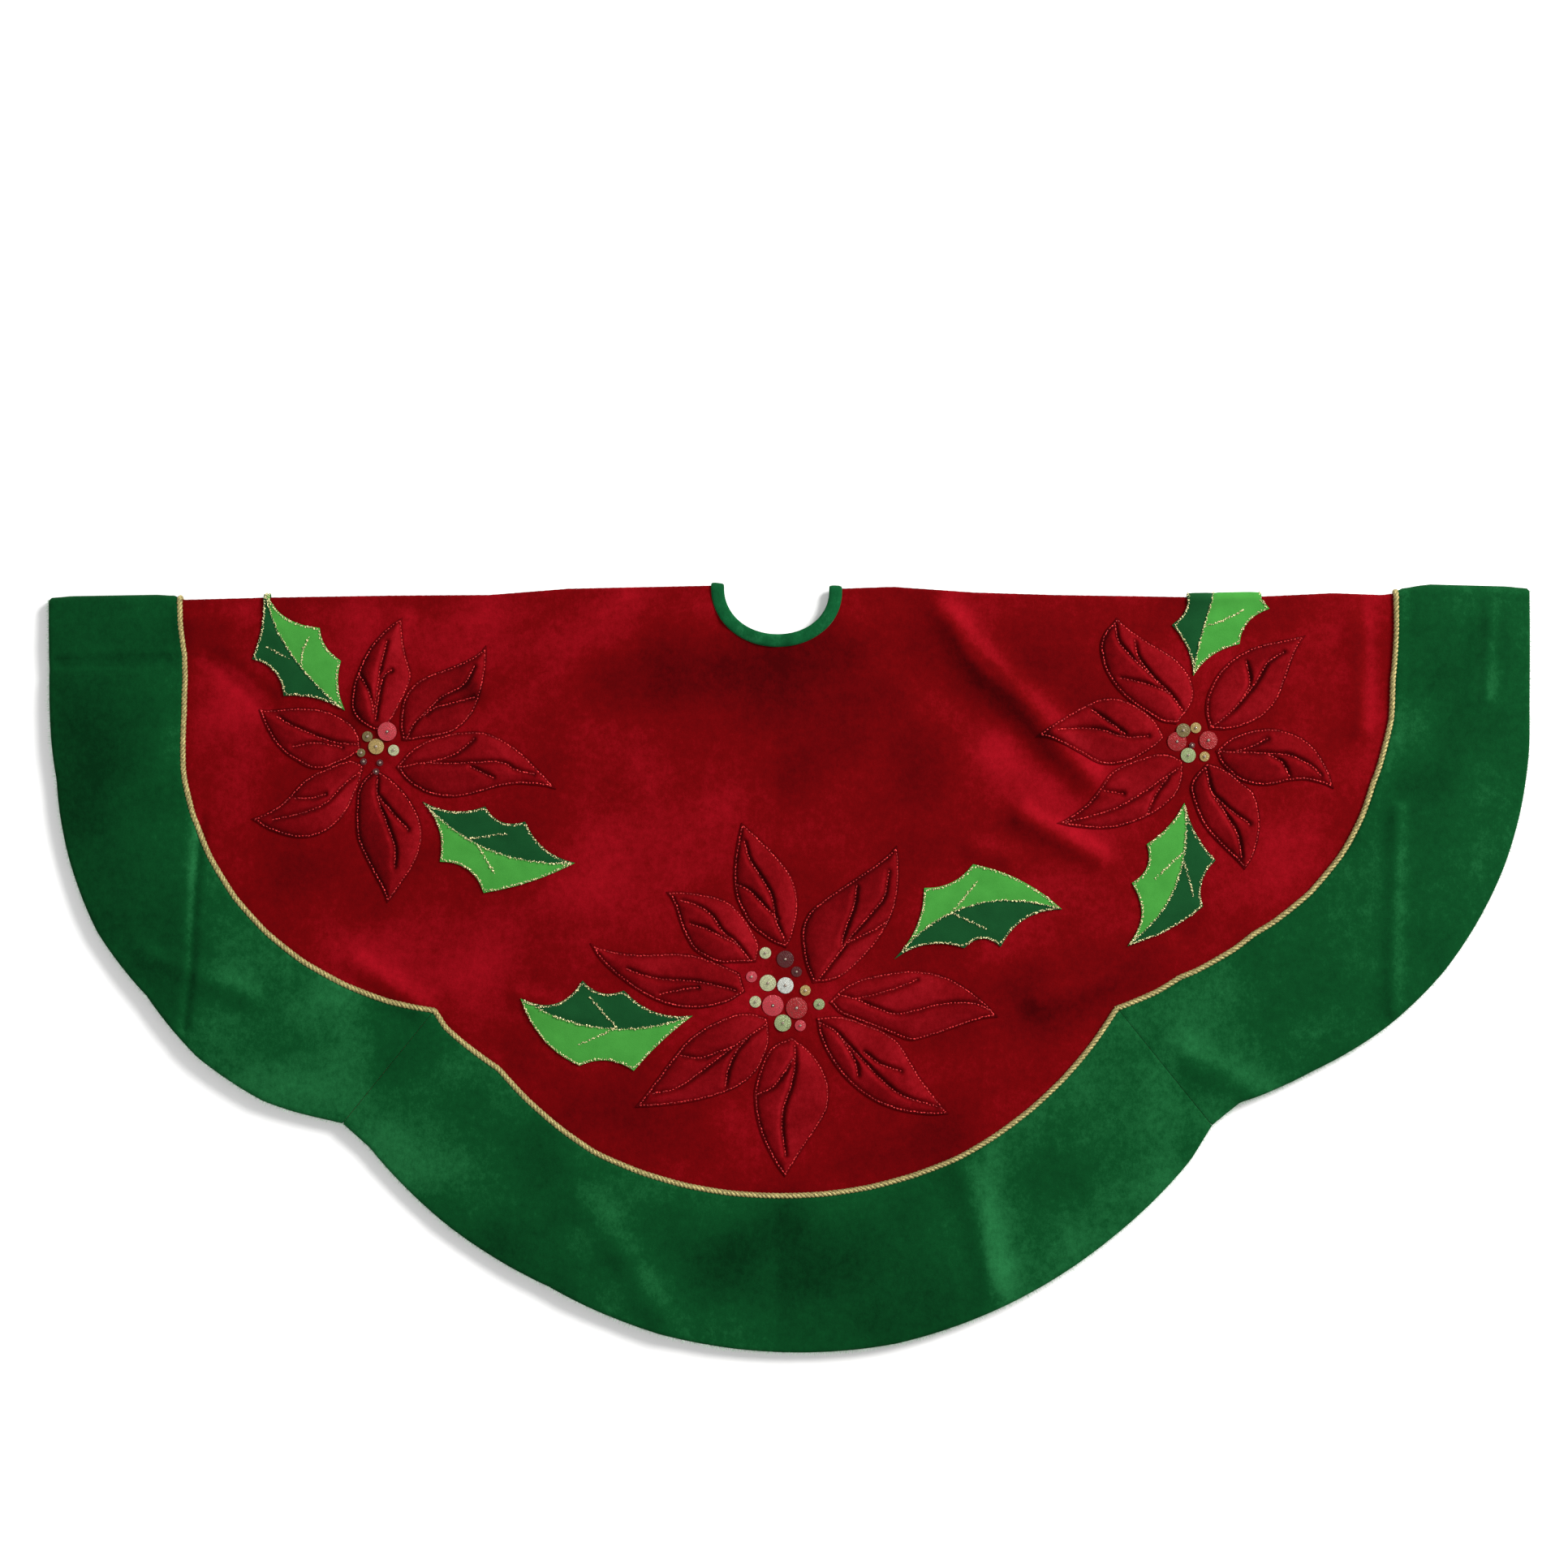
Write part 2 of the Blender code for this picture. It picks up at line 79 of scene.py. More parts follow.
MM = 0.001
HINGE = frame["joints"][0]["pos_m"]
NECK_Y = HINGE[1]
FOLD_Z = HINGE[2]
BODIES = {"left": "back_left", "right": "back_right"}

# How the cloth runs round the fold: half its length there, and in how many steps it is parted into rows there.
FOLD_RUN = 0.004
FOLD_STEPS = 12

# How far the folded edge dips towards the front, in mm at places along it, and how far that reaches.
FOLD_DIPS = (
    (-600, 14), (-480, 12), (-400, 10), (-310, 8.5), (-230, 8), (-167, 3), (-50, 0.5), (0, 1), (50, 3),
    (93, 1.5), (158, 6), (223, 8), (290, 9), (340, 10), (393, 9), (445, 6.5), (484, 8), (523, 4), (600, 6),
)
FOLD_DIP_REACH = 0.05
NECK_FLATTENED = 0.0055  # how much the neck is pulled back at its front
NECK_PULL = (0.05, 0.20)  # reaches between which that pull dies away
LEAST_REACH = 0.02

# Painted light and shade on the pile: how much lighter it is painted where it slopes to the light, soft waves,
# and the share of the pile patches and painted shade that the back takes.
SLOPE_SHADE = 1.1
SLOPE_MOST = 0.4
TOWARDS_LIGHT = (0.0018, 0.0014)
PILE_WAVES = ((0.10, 0.11), (0.06, 0.045))
BACK_PATCH_SHARE = 0.4

# How the front half stands off the back one, in mm, with soft waves over it.
LIFT_MOST = 6.0
LIFT_WAVES = ((0.9, 0.23, 3), (0.35, 0.075, 8))  # height, size and seed
FOLD_LIFT = 0.35  # the share of it left at the fold
FOLD_LIFT_REACH = 0.03

# Reaches from the neck's middle that tell the edges apart.
NEAR_REACH = 0.10
FAR_REACH = 0.30
BORDER_MIDDLE = 0.520
CLEARANCE = 0.0003
CUSP = 39.0
SLIT_ANGLE = 0.12

# How far the rim and the cord lie outside the cut pattern, in mm, at angles from the front.
RIM_LIES = {
    "left": ((0, 0), (9, -4), (18, -10), (27, -7), (36, -6), (39, 0), (45, 5), (51, 2), (57, -7),
             (63, -5), (69, -9), (75, -14), (81, -11), (90, -10)),
    "right": ((0, 0), (9, 4), (27, 4), (36, 5), (39, 2), (42, -10), (48, -8), (54, -1), (60, 4),
              (69, 8), (78, 10), (90, 10)),
}
CORD_LIES = {
    "left": ((0, 0), (18, 0), (30, -9), (37, 3), (48, 0), (60, -1), (72, -4), (78, -9), (84, -10), (90, -5)),
    "right": ((0, 0), (18, 4), (39, 0), (46, -15), (54, -17), (60, -9), (66, -3), (72, 0), (78, 9), (90, 13)),
}
STILL_SHARE = 0.82  # nothing nearer the neck than this share of the way to the cord is shifted

# Cloth meshes: how far apart their points lie.
PANEL_STEP = 0.0040
BACK_STEP = 0.0060
BORDER_STEP = 0.0038
PETAL_STEP = 0.0018
LEAF_STEP = 0.0030
BINDING_STEP = 0.0016
BACK_PETAL_STEP = 0.0030
PANEL_RING = 0.0025  # how far inside its edge a panel's next row of points lies
# A panel takes this share of the painted light and shade steps at the packing creases.
PANEL_STRIPS = 0.35  # how much of the packing strips' shades a panel takes

SHARP_ANGLE = 50  # degrees, past which an edge isn't smoothed over

# Padding and relief.
BORDER_UNDER_CORD = 0.0015
BORDER_ROUND = 0.0032
BORDER_SEAM_ROUND = 0.0014
SEAM_LEAST = 0.82
BORDER_BULGE = 0.0010
CORD_PITCH = 0.0105
CORD_RAISED = 0.0005
CORD_STEP = 0.004
NECK_RADIUS = 0.042
BINDING_WIDTH = 0.0105
BINDING_PUFF = 0.0008
BINDING_SIDES = 18
BINDING_JOIN = -9.8
BINDING_SLIT_ANGLE = 1.3
PETAL_GAP = 0.0001
PETAL_EDGE = 0.0009
PETAL_SWELL = 0.0040
PETAL_SLOPE = 0.0070
BACK_PETAL_SWELL = 0.0016
VEIN_DEPTH = 0.75
VEIN_WIDTH = 0.0022
VEIN_FROM_EDGE = 0.0012  # a vein ends that far inside its petal
EYE_REACH = (0.011, 0.020)  # a back flower is flat within the first and full past the second
STITCH_INSET = 0.0014
STITCH_DEPTH = 0.35
STITCH_WIDTH = 0.0009
STITCH_RAISED = 0.00005
SEQUIN_LIFT = 0.0006
BEAD_LIFT = 0.0009
BACK_SEQUIN_LIFTS = (0.0003, 0.0009, 0.0003, 0.0009)
BACK_BEAD_LIFT = 0.0006
LEAF_THICK = 0.0010
LEAF_SWELL = 0.0008
LEAF_AT_FOLD = 0.0016  # how much thicker a leaf is where it runs over the fold

LEAF_DARK = ((0.0015, 0.024, 0.006), (0.0055, 0.062, 0.016))
LEAF_LIGHT = ((0.020, 0.135, 0.016), (0.055, 0.270, 0.042))
SKY = 0.55
LAMPS = (
    ("key", (3.0, 2.3, 2.8), 2.3, 390.0, (1.0, 0.99, 0.97)),
    ("fill", (-1.9, -0.6, 2.2), 2.2, 18.0, (1.0, 1.0, 1.0)),
)
CAMERA_AT = (0.0059, 0.1486, 2.97)
LENS = 85
SENSOR = 36
FLOOR_REACH = 12.0
FLOOR_LOW = -0.0002


def smooth(low, high, value):
    """0 below low, 1 above high, and an even rise between them."""
    share = np.clip((value - low) / (high - low), 0.0, 1.0)
    return share * share * (3 - 2 * share)


# Veins of each petal: points as hundredths of the way from the flower's middle to the petal's tip, and
# how far to the left of that line. The back petals are alike and share one set.
VEINS = {
    "petal_centre_upper_right": (
        ((15, -10), (24, -10), (38, -10), (48, -10), (62, -11), (74, -11), (86, -5)),
        ((40, -8), (47, -5), (60, -1), (69, 4)),
        ((39, -9), (47, -13), (57, -18), (65, -21)),
    ),
    "petal_centre_top": (
        ((29, -7), (41, -5), (55, -6), (67, -3), (79, 1), (89, 1)),
        ((42, -6), (52, 0), (61, 5), (67, 12)),
    ),
    "petal_centre_upper_left": (
        ((31, -1), (45, -4), (57, -4), (68, -7), (79, -6), (89, -2)),
        ((46, -3), (54, -1), (66, 2), (75, 6)),
    ),
    "petal_centre_left": (
        ((25, 5), (37, 5), (48, 6), (58, 8), (69, 9), (79, 8)),
        ((43, 8), (52, 12), (60, 16)),
    ),
    "petal_centre_lower_left": (
        ((19, 7), (39, 6), (52, 6), (63, 6), (77, 5), (88, 0)),
        ((39, 6), (48, 3), (57, 0), (64, -7)),
        ((31, 7), (40, 9), (49, 14), (55, 20)),
    ),
    "petal_centre_bottom": (
        ((29, 5), (40, 5), (50, 3), (62, -1), (73, -2), (88, 0)),
        ((36, 4), (45, -2), (51, -7), (55, -15)),
    ),
    "petal_centre_lower_right": (
        ((22, -2), (31, -1), (42, -3), (53, -5), (64, -7), (77, -7), (93, -1)),
        ((33, -1), (41, -4), (49, -8), (53, -12)),
        ((49, -1), (59, -1), (69, 2)),
    ),
    "petal_centre_right": (
        ((22, 2), (32, 1), (42, -2), (52, -4), (62, -1), (73, 3), (88, 5), (100, 1)),
        ((33, 1), (44, 5), (53, 9), (60, 13)),
    ),
    "petal_left_upper_right": (
        ((17, -10), (28, -6), (40, -6), (53, -6), (69, -10), (83, -6)),
        ((37, -7), (45, -8), (54, -13), (68, -21)),
    ),
    "petal_left_top": (
        ((23, 7), (40, 7), (57, 8), (78, 7)),
        ((19, 5), (49, 5), (56, 0)),
        ((23, 7), (32, 10), (41, 15), (49, 22)),
    ),
    "petal_left_left": (
        ((15, 3), (34, 7), (54, 6), (71, 4), (83, 1)),
        ((27, 9), (48, 12), (64, 20)),
    ),
    "petal_left_lower_left": (
        ((18, 9), (32, 11), (50, 16), (67, 14), (87, 8)),
        ((47, 11), (57, 8), (66, 3)),
    ),
    "petal_left_bottom": (
        ((17, -1), (32, -2), (50, 3), (65, 7), (77, 6)),
        ((32, -1), (43, 7), (54, 16)),
    ),
    "petal_left_right": (
        ((15, -8), (26, -3), (40, 0), (66, 7), (76, 5), (86, 5)),
        ((52, 1), (65, -2)),
        ((27, -3), (38, 3), (44, 8), (50, 16)),
    ),
    "petal_right_upper_right": (
        ((13, -1), (27, -3), (40, -3), (56, -1), (70, 3), (82, 1)),
        ((40, -3), (52, 1), (61, 13)),
    ),
    "petal_right_upper_left": (
        ((20, -4), (33, -3), (45, 0), (59, 4), (72, 7), (85, 8), (95, 4)),
        ((46, 1), (66, 3), (79, -1)),
        ((36, -2), (43, 3), (52, 11), (60, 20)),
    ),
    "petal_right_left": (
        ((29, -3), (44, -2), (60, -6), (77, -6), (86, -5)),
        ((44, -4), (54, -11), (65, -18)),
    ),
    "petal_right_lower_left": (
        ((17, 9), (31, 10), (45, 11), (60, 11), (72, 9), (94, 3)),
        ((55, 5), (64, -2)),
        ((26, 11), (37, 16), (48, 24)),
    ),
    "petal_right_lower_right": (
        ((19, 1), (38, -2), (55, 1), (73, 3), (89, 0)),
        ((39, -2), (54, 5), (69, 14)),
    ),
    "petal_right_right": (
        ((19, 0), (33, 4), (51, 9), (64, 12), (79, 10), (88, 6)),
        ((51, 8), (60, 6), (68, -1)),
        ((30, 4), (38, 10), (46, 18)),
    ),
}
BACK_VEINS = (
    ((30, 0), (45, 3), (60, 3), (75, 1), (90, 0)),
    ((42, 3), (55, 9), (66, 14)),
    ((50, 3), (62, -4), (72, -8)),
)

# Leaves: how far the midrib bows to the left of the line from stem to tip, which side is the light one
# (1 left, -1 right), and the side veins, as hundredths of the leaf's length.
LEAVES = {
    "holly_1": (12, 1, (((43, 11), (60, -5)), ((43, 11), (64, 23)))),
    "holly_2": (-12, -1, (((35, -10), (55, 1)), ((42, -13), (57, -24)))),
    "holly_3": (17, 1, (((39, 16), (58, 29)), ((39, 16), (55, 2)))),
    "holly_4": (13, -1, (((28, 11), (52, -1)), ((36, 13), (55, 27)))),
    "holly_5": (10, -1, (((45, 13), (58, 21)), ((36, 9), (44, 4), (51, -4)))),
    "holly_6": (4, -1, (((33, 4), (40, -5), (50, -15)),)),
}


def turned_over(leaf):
    bow, light_side, veins = leaf
    return -bow, -light_side, tuple(tuple((along, -aside) for along, aside in vein) for vein in veins)


LEAVES["holly_7"], LEAVES["holly_8"] = LEAVES["holly_1"], LEAVES["holly_2"]
LEAVES["holly_9"], LEAVES["holly_10"] = turned_over(LEAVES["holly_1"]), turned_over(LEAVES["holly_2"])

# Sequins: mm from the flower's middle, radius in mm, and colour.
SEQUINS = {
    "sequins_centre": (
        (-16, 32, 4.6, "cream"),
        (0, 27, 6.8, "dark_red"),
        (9, 17, 4.2, "dark_red"),
        (-27, 13, 4.4, "pink"),
        (-14, 8, 6.6, "cream"),
        (0, 6, 6.5, "silver"),
        (16, 2, 4.2, "gold"),
        (-24, -7, 4.6, "cream"),
        (-10, -10, 8.5, "coral"),
        (9, -12, 8.5, "red"),
        (27, -9, 4.4, "sage"),
        (-2, -24, 6.7, "sage"),
        (12, -26, 4.4, "coral"),
    ),
    "sequins_left": (
        (8, 12, 7.5, "coral"),
        (-8, 8, 4.2, "olive"),
        (-1, -0, 6.2, "gold"),
        (13, -3, 4.4, "cream"),
        (-13, -5, 3.3, "olive"),
        (-11, -12, 2.6, "dark_red"),
        (2, -13, 2.6, "dark_red"),
        (-1, -20, 2.6, "dark_red"),
    ),
    "sequins_right": (
        (-8, 10, 5.5, "olive"),
        (2, 12, 4.2, "gold"),
        (-13, 1, 7.6, "red"),
        (12, 2, 7.2, "red"),
        (-1, -2, 2.3, "dark_red"),
        (-4, -10, 5.9, "sage"),
        (9, -11, 3.9, "gold"),
    ),
}
BACK_SEQUINS = (
    (-6, 6, 5.0, "gold"),
    (6, 5, 6.0, "coral"),
    (0, -6, 6.4, "cream"),
    (9, -5, 3.6, "olive"),
)
SEQUIN_COLOURS = {
    "cream": (0.38, 0.40, 0.23),
    "silver": (0.46, 0.48, 0.44),
    "gold": (0.30, 0.21, 0.07),
    "olive": (0.12, 0.09, 0.03),
    "sage": (0.22, 0.28, 0.13),
    "pink": (0.42, 0.035, 0.055),
    "coral": (0.40, 0.026, 0.042),
    "red": (0.25, 0.004, 0.009),
    "dark_red": (0.06, 0.003, 0.007),
}

# How the front half lies. Soft ridges and hollows: points and half width in mm, and height in mm.
RIDGES = (
    (((126, -2), (158, -55), (204, -101), (230, -134), (249, -153)), 13, 4.2),
    (((100, -60), (150, -100), (200, -135)), 22, -2.0),
    (((197, -186), (256, -218)), 10, 3.0),
    (((158, -212), (184, -218)), 9, 1.6),
    (((210, -335), (269, -316), (315, -293)), 10, 2.4),
    (((-337, -303), (-285, -335)), 10, 2.2),
    (((-206, -329), (-167, -342)), 8, 1.4),
    (((-235, -81), (-156, -29), (-125, -5)), 11, 3.6),
    (((-473, -16), (-434, -12)), 12, 2.4),
    (((-460, -55), (-408, -94)), 11, -2.2),
    (((-300, -20), (-322, -60), (-330, -100)), 9, 1.8),
    (((458, -5), (463, -114)), 7, 2.0),
    (((-583, -62), (-500, -60)), 6, -1.6),
    (((-462, -190), (-468, -270), (-474, -356)), 4, -1.6),
    (((559, -5), (556, -90)), 6, 1.8),
    (((494, -180), (492, -340)), 6, 1.6),
    (((-505, -300), (-420, -330)), 9, 1.6),
    (((-40, -60), (45, -62)), 26, -2.6),
    (((-150, -500), (-90, -590)), 14, 1.8),
    (((150, -470), (175, -560)), 12, 2.0),
    (((330, -380), (400, -420)), 12, 1.8),
)
# The folds of its packing run straight across it: places along x, and heights there, in mm.
CREASES = (-600, -473, -322, -161, 0, 165, 322, 494, 600)
CREASE_HEIGHTS = (0.2, 1.8, 0.4, 1.9, 0.5, 2.0, 0.4, 1.8, 0.3)
# Painted light and shade: the step in tone at each of those packing creases, as the cloth beyond lies at
# another tilt to the light.
STRIP_PAINTED_SHADES = (-0.12, 0.14, -0.03, 0.05, -0.12, 0.14, -0.06, -0.10, 0.0)

# Patches where the pile lies up or down, mixed with painted light and shade such as the painted shade below
# the collar: middle and reach in mm, turn in degrees, and strength.
PETAL_RUBS = (
    (-90, -150, 200, 60, 0, 0.05),
    (0, -215, 120, 60, 0, 0.0),
)
RED_PILE_AND_SHADE_PATCHES = (
    # Painted shade below the collar.
    (-30, -75, 150, 34, 0, -0.42),
    (60, -140, 120, 60, -30, -0.12),
    (165, -120, 90, 18, -45, 0.20),
    (240, -190, 70, 26, -30, 0.12),
    (225, -330, 90, 40, 10, -0.25),
    (150, -250, 60, 22, 15, 0.22),
    (-180, -70, 90, 24, 35, 0.22),
    (-230, -50, 120, 26, 5, 0.16),
    (-60, -200, 90, 50, 0, 0.14),
    (-380, -250, 70, 60, 40, -0.14),
    (-250, -310, 90, 40, -15, 0.24),
    (-120, -420, 120, 30, -28, -0.18),
    (120, -440, 90, 24, 25, -0.20),
    (400, -230, 60, 40, 60, 0.16),
    (400, -40, 60, 40, 0, 0.12),
    (330, -20, 90, 16, 0, -0.22),
    (-430, -140, 40, 60, 0, 0.14),
    (255, -95, 55, 40, -45, -0.18),
    (0, -235, 60, 50, 0, -0.08),
)
GREEN_PILE_AND_SHADE_PATCHES = (
    (-560, -150, 40, 160, 0, -0.30),
    (-520, -330, 70, 50, 45, -0.10),
    (-400, -400, 50, 16, 0, 0.18),
    (-300, -470, 50, 24, -40, 0.32),
    (-220, -540, 90, 26, -35, -0.25),
    (0, -550, 120, 50, 0, -0.36),
    (-110, -570, 60, 24, -15, 0.16),
    (170, -520, 26, 60, 10, 0.22),
    (240, -460, 60, 30, 40, -0.15),
    (340, -420, 70, 24, 30, 0.14),
    (460, -310, 60, 26, 40, -0.10),
    (550, -90, 26, 90, 0, -0.02),
    (530, -240, 40, 40, 60, 0.10),
    (585, -120, 12, 90, 0, 0.05),
    (-545, -45, 50, 40, 0, 0.16),
    (410, -378, 40, 20, 40, -0.02),
)


# --- the cut pieces, read off the pattern ----------------------------------------------------------


def spread(points, back):
    """World points of a node brought to the spread skirt."""
    away = points[:, 1] - NECK_Y
    return np.column_stack((points[:, 0], -away if back else away))


def is_back(node):
    return frame["nodes"][node]["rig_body"] != "front"


def signed_area(loop):
    x, y = loop[:, 0], loop[:, 1]
    return 0.5 * float(np.sum(x * np.roll(y, -1) - np.roll(x, -1) * y))


def free_edges(rings):
    """The edges that only one of these faces has, in that face's direction."""
    edges = set()
    for ring in rings:
        for a, b in zip(ring, ring[1:] + ring[:1]):
            if (b, a) in edges:
                edges.remove((b, a))
            elif a != b:
                edges.add((a, b))
    return sorted(edges)


def outlines(node):
    """The outlines of a flat node's face on the spread skirt, the largest first, counter-clockwise."""
    mesh = frame["nodes"][node].data
    points = np.array([v.co for v in mesh.vertices])
    face = points[:, 2].min() if is_back(node) else points[:, 2].max()
    keys = [tuple(key) for key in np.round(points * 1e5).astype(int)]
    rings = [
        [keys[v] for v in polygon.vertices]
        for polygon in mesh.polygons
        if all(abs(points[v][2] - face) <= 2e-5 for v in polygon.vertices)
    ]
    following = dict(free_edges(rings))
    loops = []
    while following:
        here = next(iter(following))
        loop = []
        while here in following:
            loop.append(here)
            here = following.pop(here)
        flat = spread(np.array(loop, float) * 1e-5, is_back(node))
        loops.append(flat[::-1] if signed_area(flat) < 0 else flat)
    return sorted(loops, key=lambda loop: -abs(signed_area(loop)))


def outline(node):
    return outlines(node)[0]


def heights(node):
    """A node's lowest and highest height on the spread skirt."""
    low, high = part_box(node)
    if is_back(node):
        return FOLD_Z - high.z, FOLD_Z - low.z
    return low.z - FOLD_Z, high.z - FOLD_Z


def middle(node):
    """The middle of a node on the spread skirt."""
    low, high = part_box(node)
    return spread(np.array([(low + high) / 2]), is_back(node))[0]


def on_fold(loop):
    return np.abs(loop[:, 1]) < 0.0004


def with_run(loop, fold_row=None):
    """Moves an outline off the fold line by half the fold's run, and its fold edge to fold_row."""
    side = np.where(loop[:, 1] < 0, -1.0, 1.0)
    rows = loop[:, 1] + side * FOLD_RUN
    at = side * FOLD_RUN if fold_row is None else np.full(len(loop), fold_row)
    return np.column_stack((loop[:, 0], np.where(on_fold(loop), at, rows)))


def over_fold(front, back):
    """One outline from the front and the back part of a piece that runs over the fold."""
    halves = []
    for loop in (front, back):
        fold = on_fold(loop)
        at = next(k for k in range(len(loop)) if fold[k] and fold[(k + 1) % len(loop)])
        halves.append(with_run(np.roll(loop, -(at + 1), axis=0)))
    return np.vstack(halves)


def edge_lookup(inner):
    """Angles from the front and radii of the pattern's rim, or of the border's inner edge."""
    points = np.vstack([outline("border_front"), outline("border_right_front")])
    points = points[points[:, 0] >= -0.0005]
    radii = np.hypot(points[:, 0], points[:, 1])
    chosen = (radii < BORDER_MIDDLE) == inner
    angles = np.degrees(np.arctan2(points[:, 0], -points[:, 1]))
    order = np.argsort(angles[chosen])
    return angles[chosen][order], radii[chosen][order]


RIM_EDGE = edge_lookup(inner=False)
CORD_EDGE = edge_lookup(inner=True)
CORD_RADIUS = (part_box("gold_cord_front")[1].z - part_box("gold_cord_front")[0].z) / 2


def cord_line(angle):
    """Radius of the cord's own line at an angle from the front, 0 to 90 degrees."""
    return np.interp(angle, *CORD_EDGE) - CORD_RADIUS - CLEARANCE


# --- how the skirt lies ----------------------------------------------------------------------------


def nearest_on_path(points, path):
    """Distance from each point to a polyline."""
    path = np.asarray(path, float)
    best = np.full(len(points), np.inf)
    for a, b in zip(path, path[1:]):
        along = b - a
        share = np.clip(((points - a) @ along) / (along @ along), 0, 1)
        off = points - (a + share[:, None] * along)
        best = np.minimum(best, np.hypot(off[:, 0], off[:, 1]))
    return best


def ripple(points, size, seed):
    """Even, soft waves of about that size, between -1 and 1."""
    rng = np.random.default_rng(seed)
    total = np.zeros(len(points))
    for _ in range(7):
        turn, phase = rng.uniform(0, 2 * np.pi, 2)
        rate = 2 * np.pi / (size * rng.uniform(0.7, 1.6))
        total += np.sin((points[:, 0] * np.cos(turn) + points[:, 1] * np.sin(turn)) * rate + phase)
    return total / 4


def shifted(points):
    """Points moved out or in as the rim and cord of this skirt lie. y is below 0 on both halves."""
    x, away = points[:, 0], -points[:, 1]
    reach = np.hypot(x, away)
    angle = np.degrees(np.arctan2(np.abs(x), np.maximum(away, 1e-9)))
    cord, rim = cord_line(angle), np.interp(angle, *RIM_EDGE)
    move = {}
    for side in ("left", "right"):
        at_cord = np.interp(angle, *np.array(CORD_LIES[side], float).T) * MM
        at_rim = np.interp(angle, *np.array(RIM_LIES[side], float).T) * MM
        inner = at_cord * smooth(STILL_SHARE * cord, cord, reach)
        share = np.clip((reach - cord) / (rim - cord), 0, 1)
        move[side] = inner + (at_rim - at_cord) * share
    out = 1 + np.where(x < 0, move["left"], move["right"]) / np.maximum(reach, 1e-6)
    neck = NECK_FLATTENED * np.cos(np.radians(angle)) ** 2 * (1 - smooth(*NECK_PULL, reach))
    return points * (out - neck / np.maximum(reach, LEAST_REACH))[:, None]


def lift(points):
    """How high the front half stands off the back one."""
    height = np.interp(points[:, 0] / MM, CREASES, CREASE_HEIGHTS)
    (broad, *broad_size), (fine, *fine_size) = LIFT_WAVES
    height += broad + broad * ripple(points, *broad_size) + fine * ripple(points, *fine_size)
    for path, half_width, rise in RIDGES:
        off = nearest_on_path(points / MM, path)
        height += rise * np.exp(-((off / half_width) ** 2))
    height = height * (FOLD_LIFT + (1 - FOLD_LIFT) * smooth(0.0, FOLD_LIFT_REACH, -points[:, 1]))
    return np.clip(height, 0.0, LIFT_MOST) * MM


def laid(points, height):
    """World points of the folded skirt, from spread points and heights above the fold's middle."""
    rows = points[:, 1]
    turn = np.pi * np.clip((rows + FOLD_RUN) / (2 * FOLD_RUN), 0, 1)
    away = np.maximum(np.abs(rows) - FOLD_RUN, 0)
    flat = shifted(np.column_stack((points[:, 0], -away)))
    dip = np.interp(flat[:, 0] / MM, *np.array(FOLD_DIPS).T) * MM
    y = NECK_Y + flat[:, 1] - dip * np.exp(-((flat[:, 1] / FOLD_DIP_REACH) ** 2)) + height * np.sin(turn)
    z = FOLD_Z + height * np.cos(turn) + lift(flat) * (1 + np.cos(turn)) / 2
    return np.column_stack((flat[:, 0], y, z))


def pile_and_painted_light(points, pile_and_shade_patches, seed):
    """How light the pile is painted, about 0: painted light and shade where the front slopes to and from the
    light, patches of lying pile mixed with painted light and shade, and a little unevenness.
    """
    flat = np.column_stack((points[:, 0], -np.abs(points[:, 1]))) / MM
    back = points[:, 1] > 0
    (broad, broad_size), (fine, fine_size) = PILE_WAVES
    total = broad * ripple(points, broad_size, seed) + fine * ripple(points, fine_size, seed + 1)
    # Painted light and shade: the front half is made lighter where it slopes towards the light and darker
    # where it slopes away from it.
    towards = np.array(TOWARDS_LIGHT)
    slope = (lift(flat * MM + towards) - lift(flat * MM - towards)) / (2 * np.linalg.norm(towards))
    total -= np.where(back, 0.0, SLOPE_SHADE) * np.clip(slope, -SLOPE_MOST, SLOPE_MOST)
    # Each patch paints its share of lying pile and of light and shade.
    for x, y, along, across, turn, strength in pile_and_shade_patches:
        cosine, sine = math.cos(math.radians(turn)), math.sin(math.radians(turn))
        off = flat - (x, y)
        u = (off[:, 0] * cosine + off[:, 1] * sine) / along
        v = (off[:, 1] * cosine - off[:, 0] * sine) / across
        total += np.where(back, BACK_PATCH_SHARE, 1.0) * strength * np.exp(-(u * u + v * v))
    return total


# --- filling outlines with cloth -------------------------------------------------------------------


def rounded(loop, step, corner=34.0):
    """An outline with its bends made even and its corners kept, in steps of about that length."""
    count = len(loop)
    turns = []
    for k in range(count):
        before, after = loop[k] - loop[k - 1], loop[(k + 1) % count] - loop[k]
        turn = math.atan2(before[0] * after[1] - before[1] * after[0], before @ after)
        turns.append(abs(math.degrees(turn)) > corner)
    made = []
    for k in range(count):
        a, b = loop[k], loop[(k + 1) % count]
        length = np.linalg.norm(b - a)
        slope_a = b - a if turns[k] else even_slope(loop[k - 1], a, b)
        slope_b = b - a if turns[(k + 1) % count] else even_slope(a, b, loop[(k + 2) % count], last=True)
        steps = max(1, round(length / step))
        t = (np.arange(steps) / steps)[:, None]
        made.append(
            a * (1 + 2 * t) * (1 - t) ** 2
            + b * t * t * (3 - 2 * t)
            + slope_a * t * (1 - t) ** 2
            - slope_b * t * t * (1 - t)
        )
    return np.vstack(made)


def even_slope(a, b, c, last=False):
    """The slope of a smooth line at b, scaled to the stretch it is used on."""
    first, second = np.linalg.norm(b - a), np.linalg.norm(c - b)
    slope = (c - a) / max(first + second, 1e-9)
    return slope * (first if last else second)


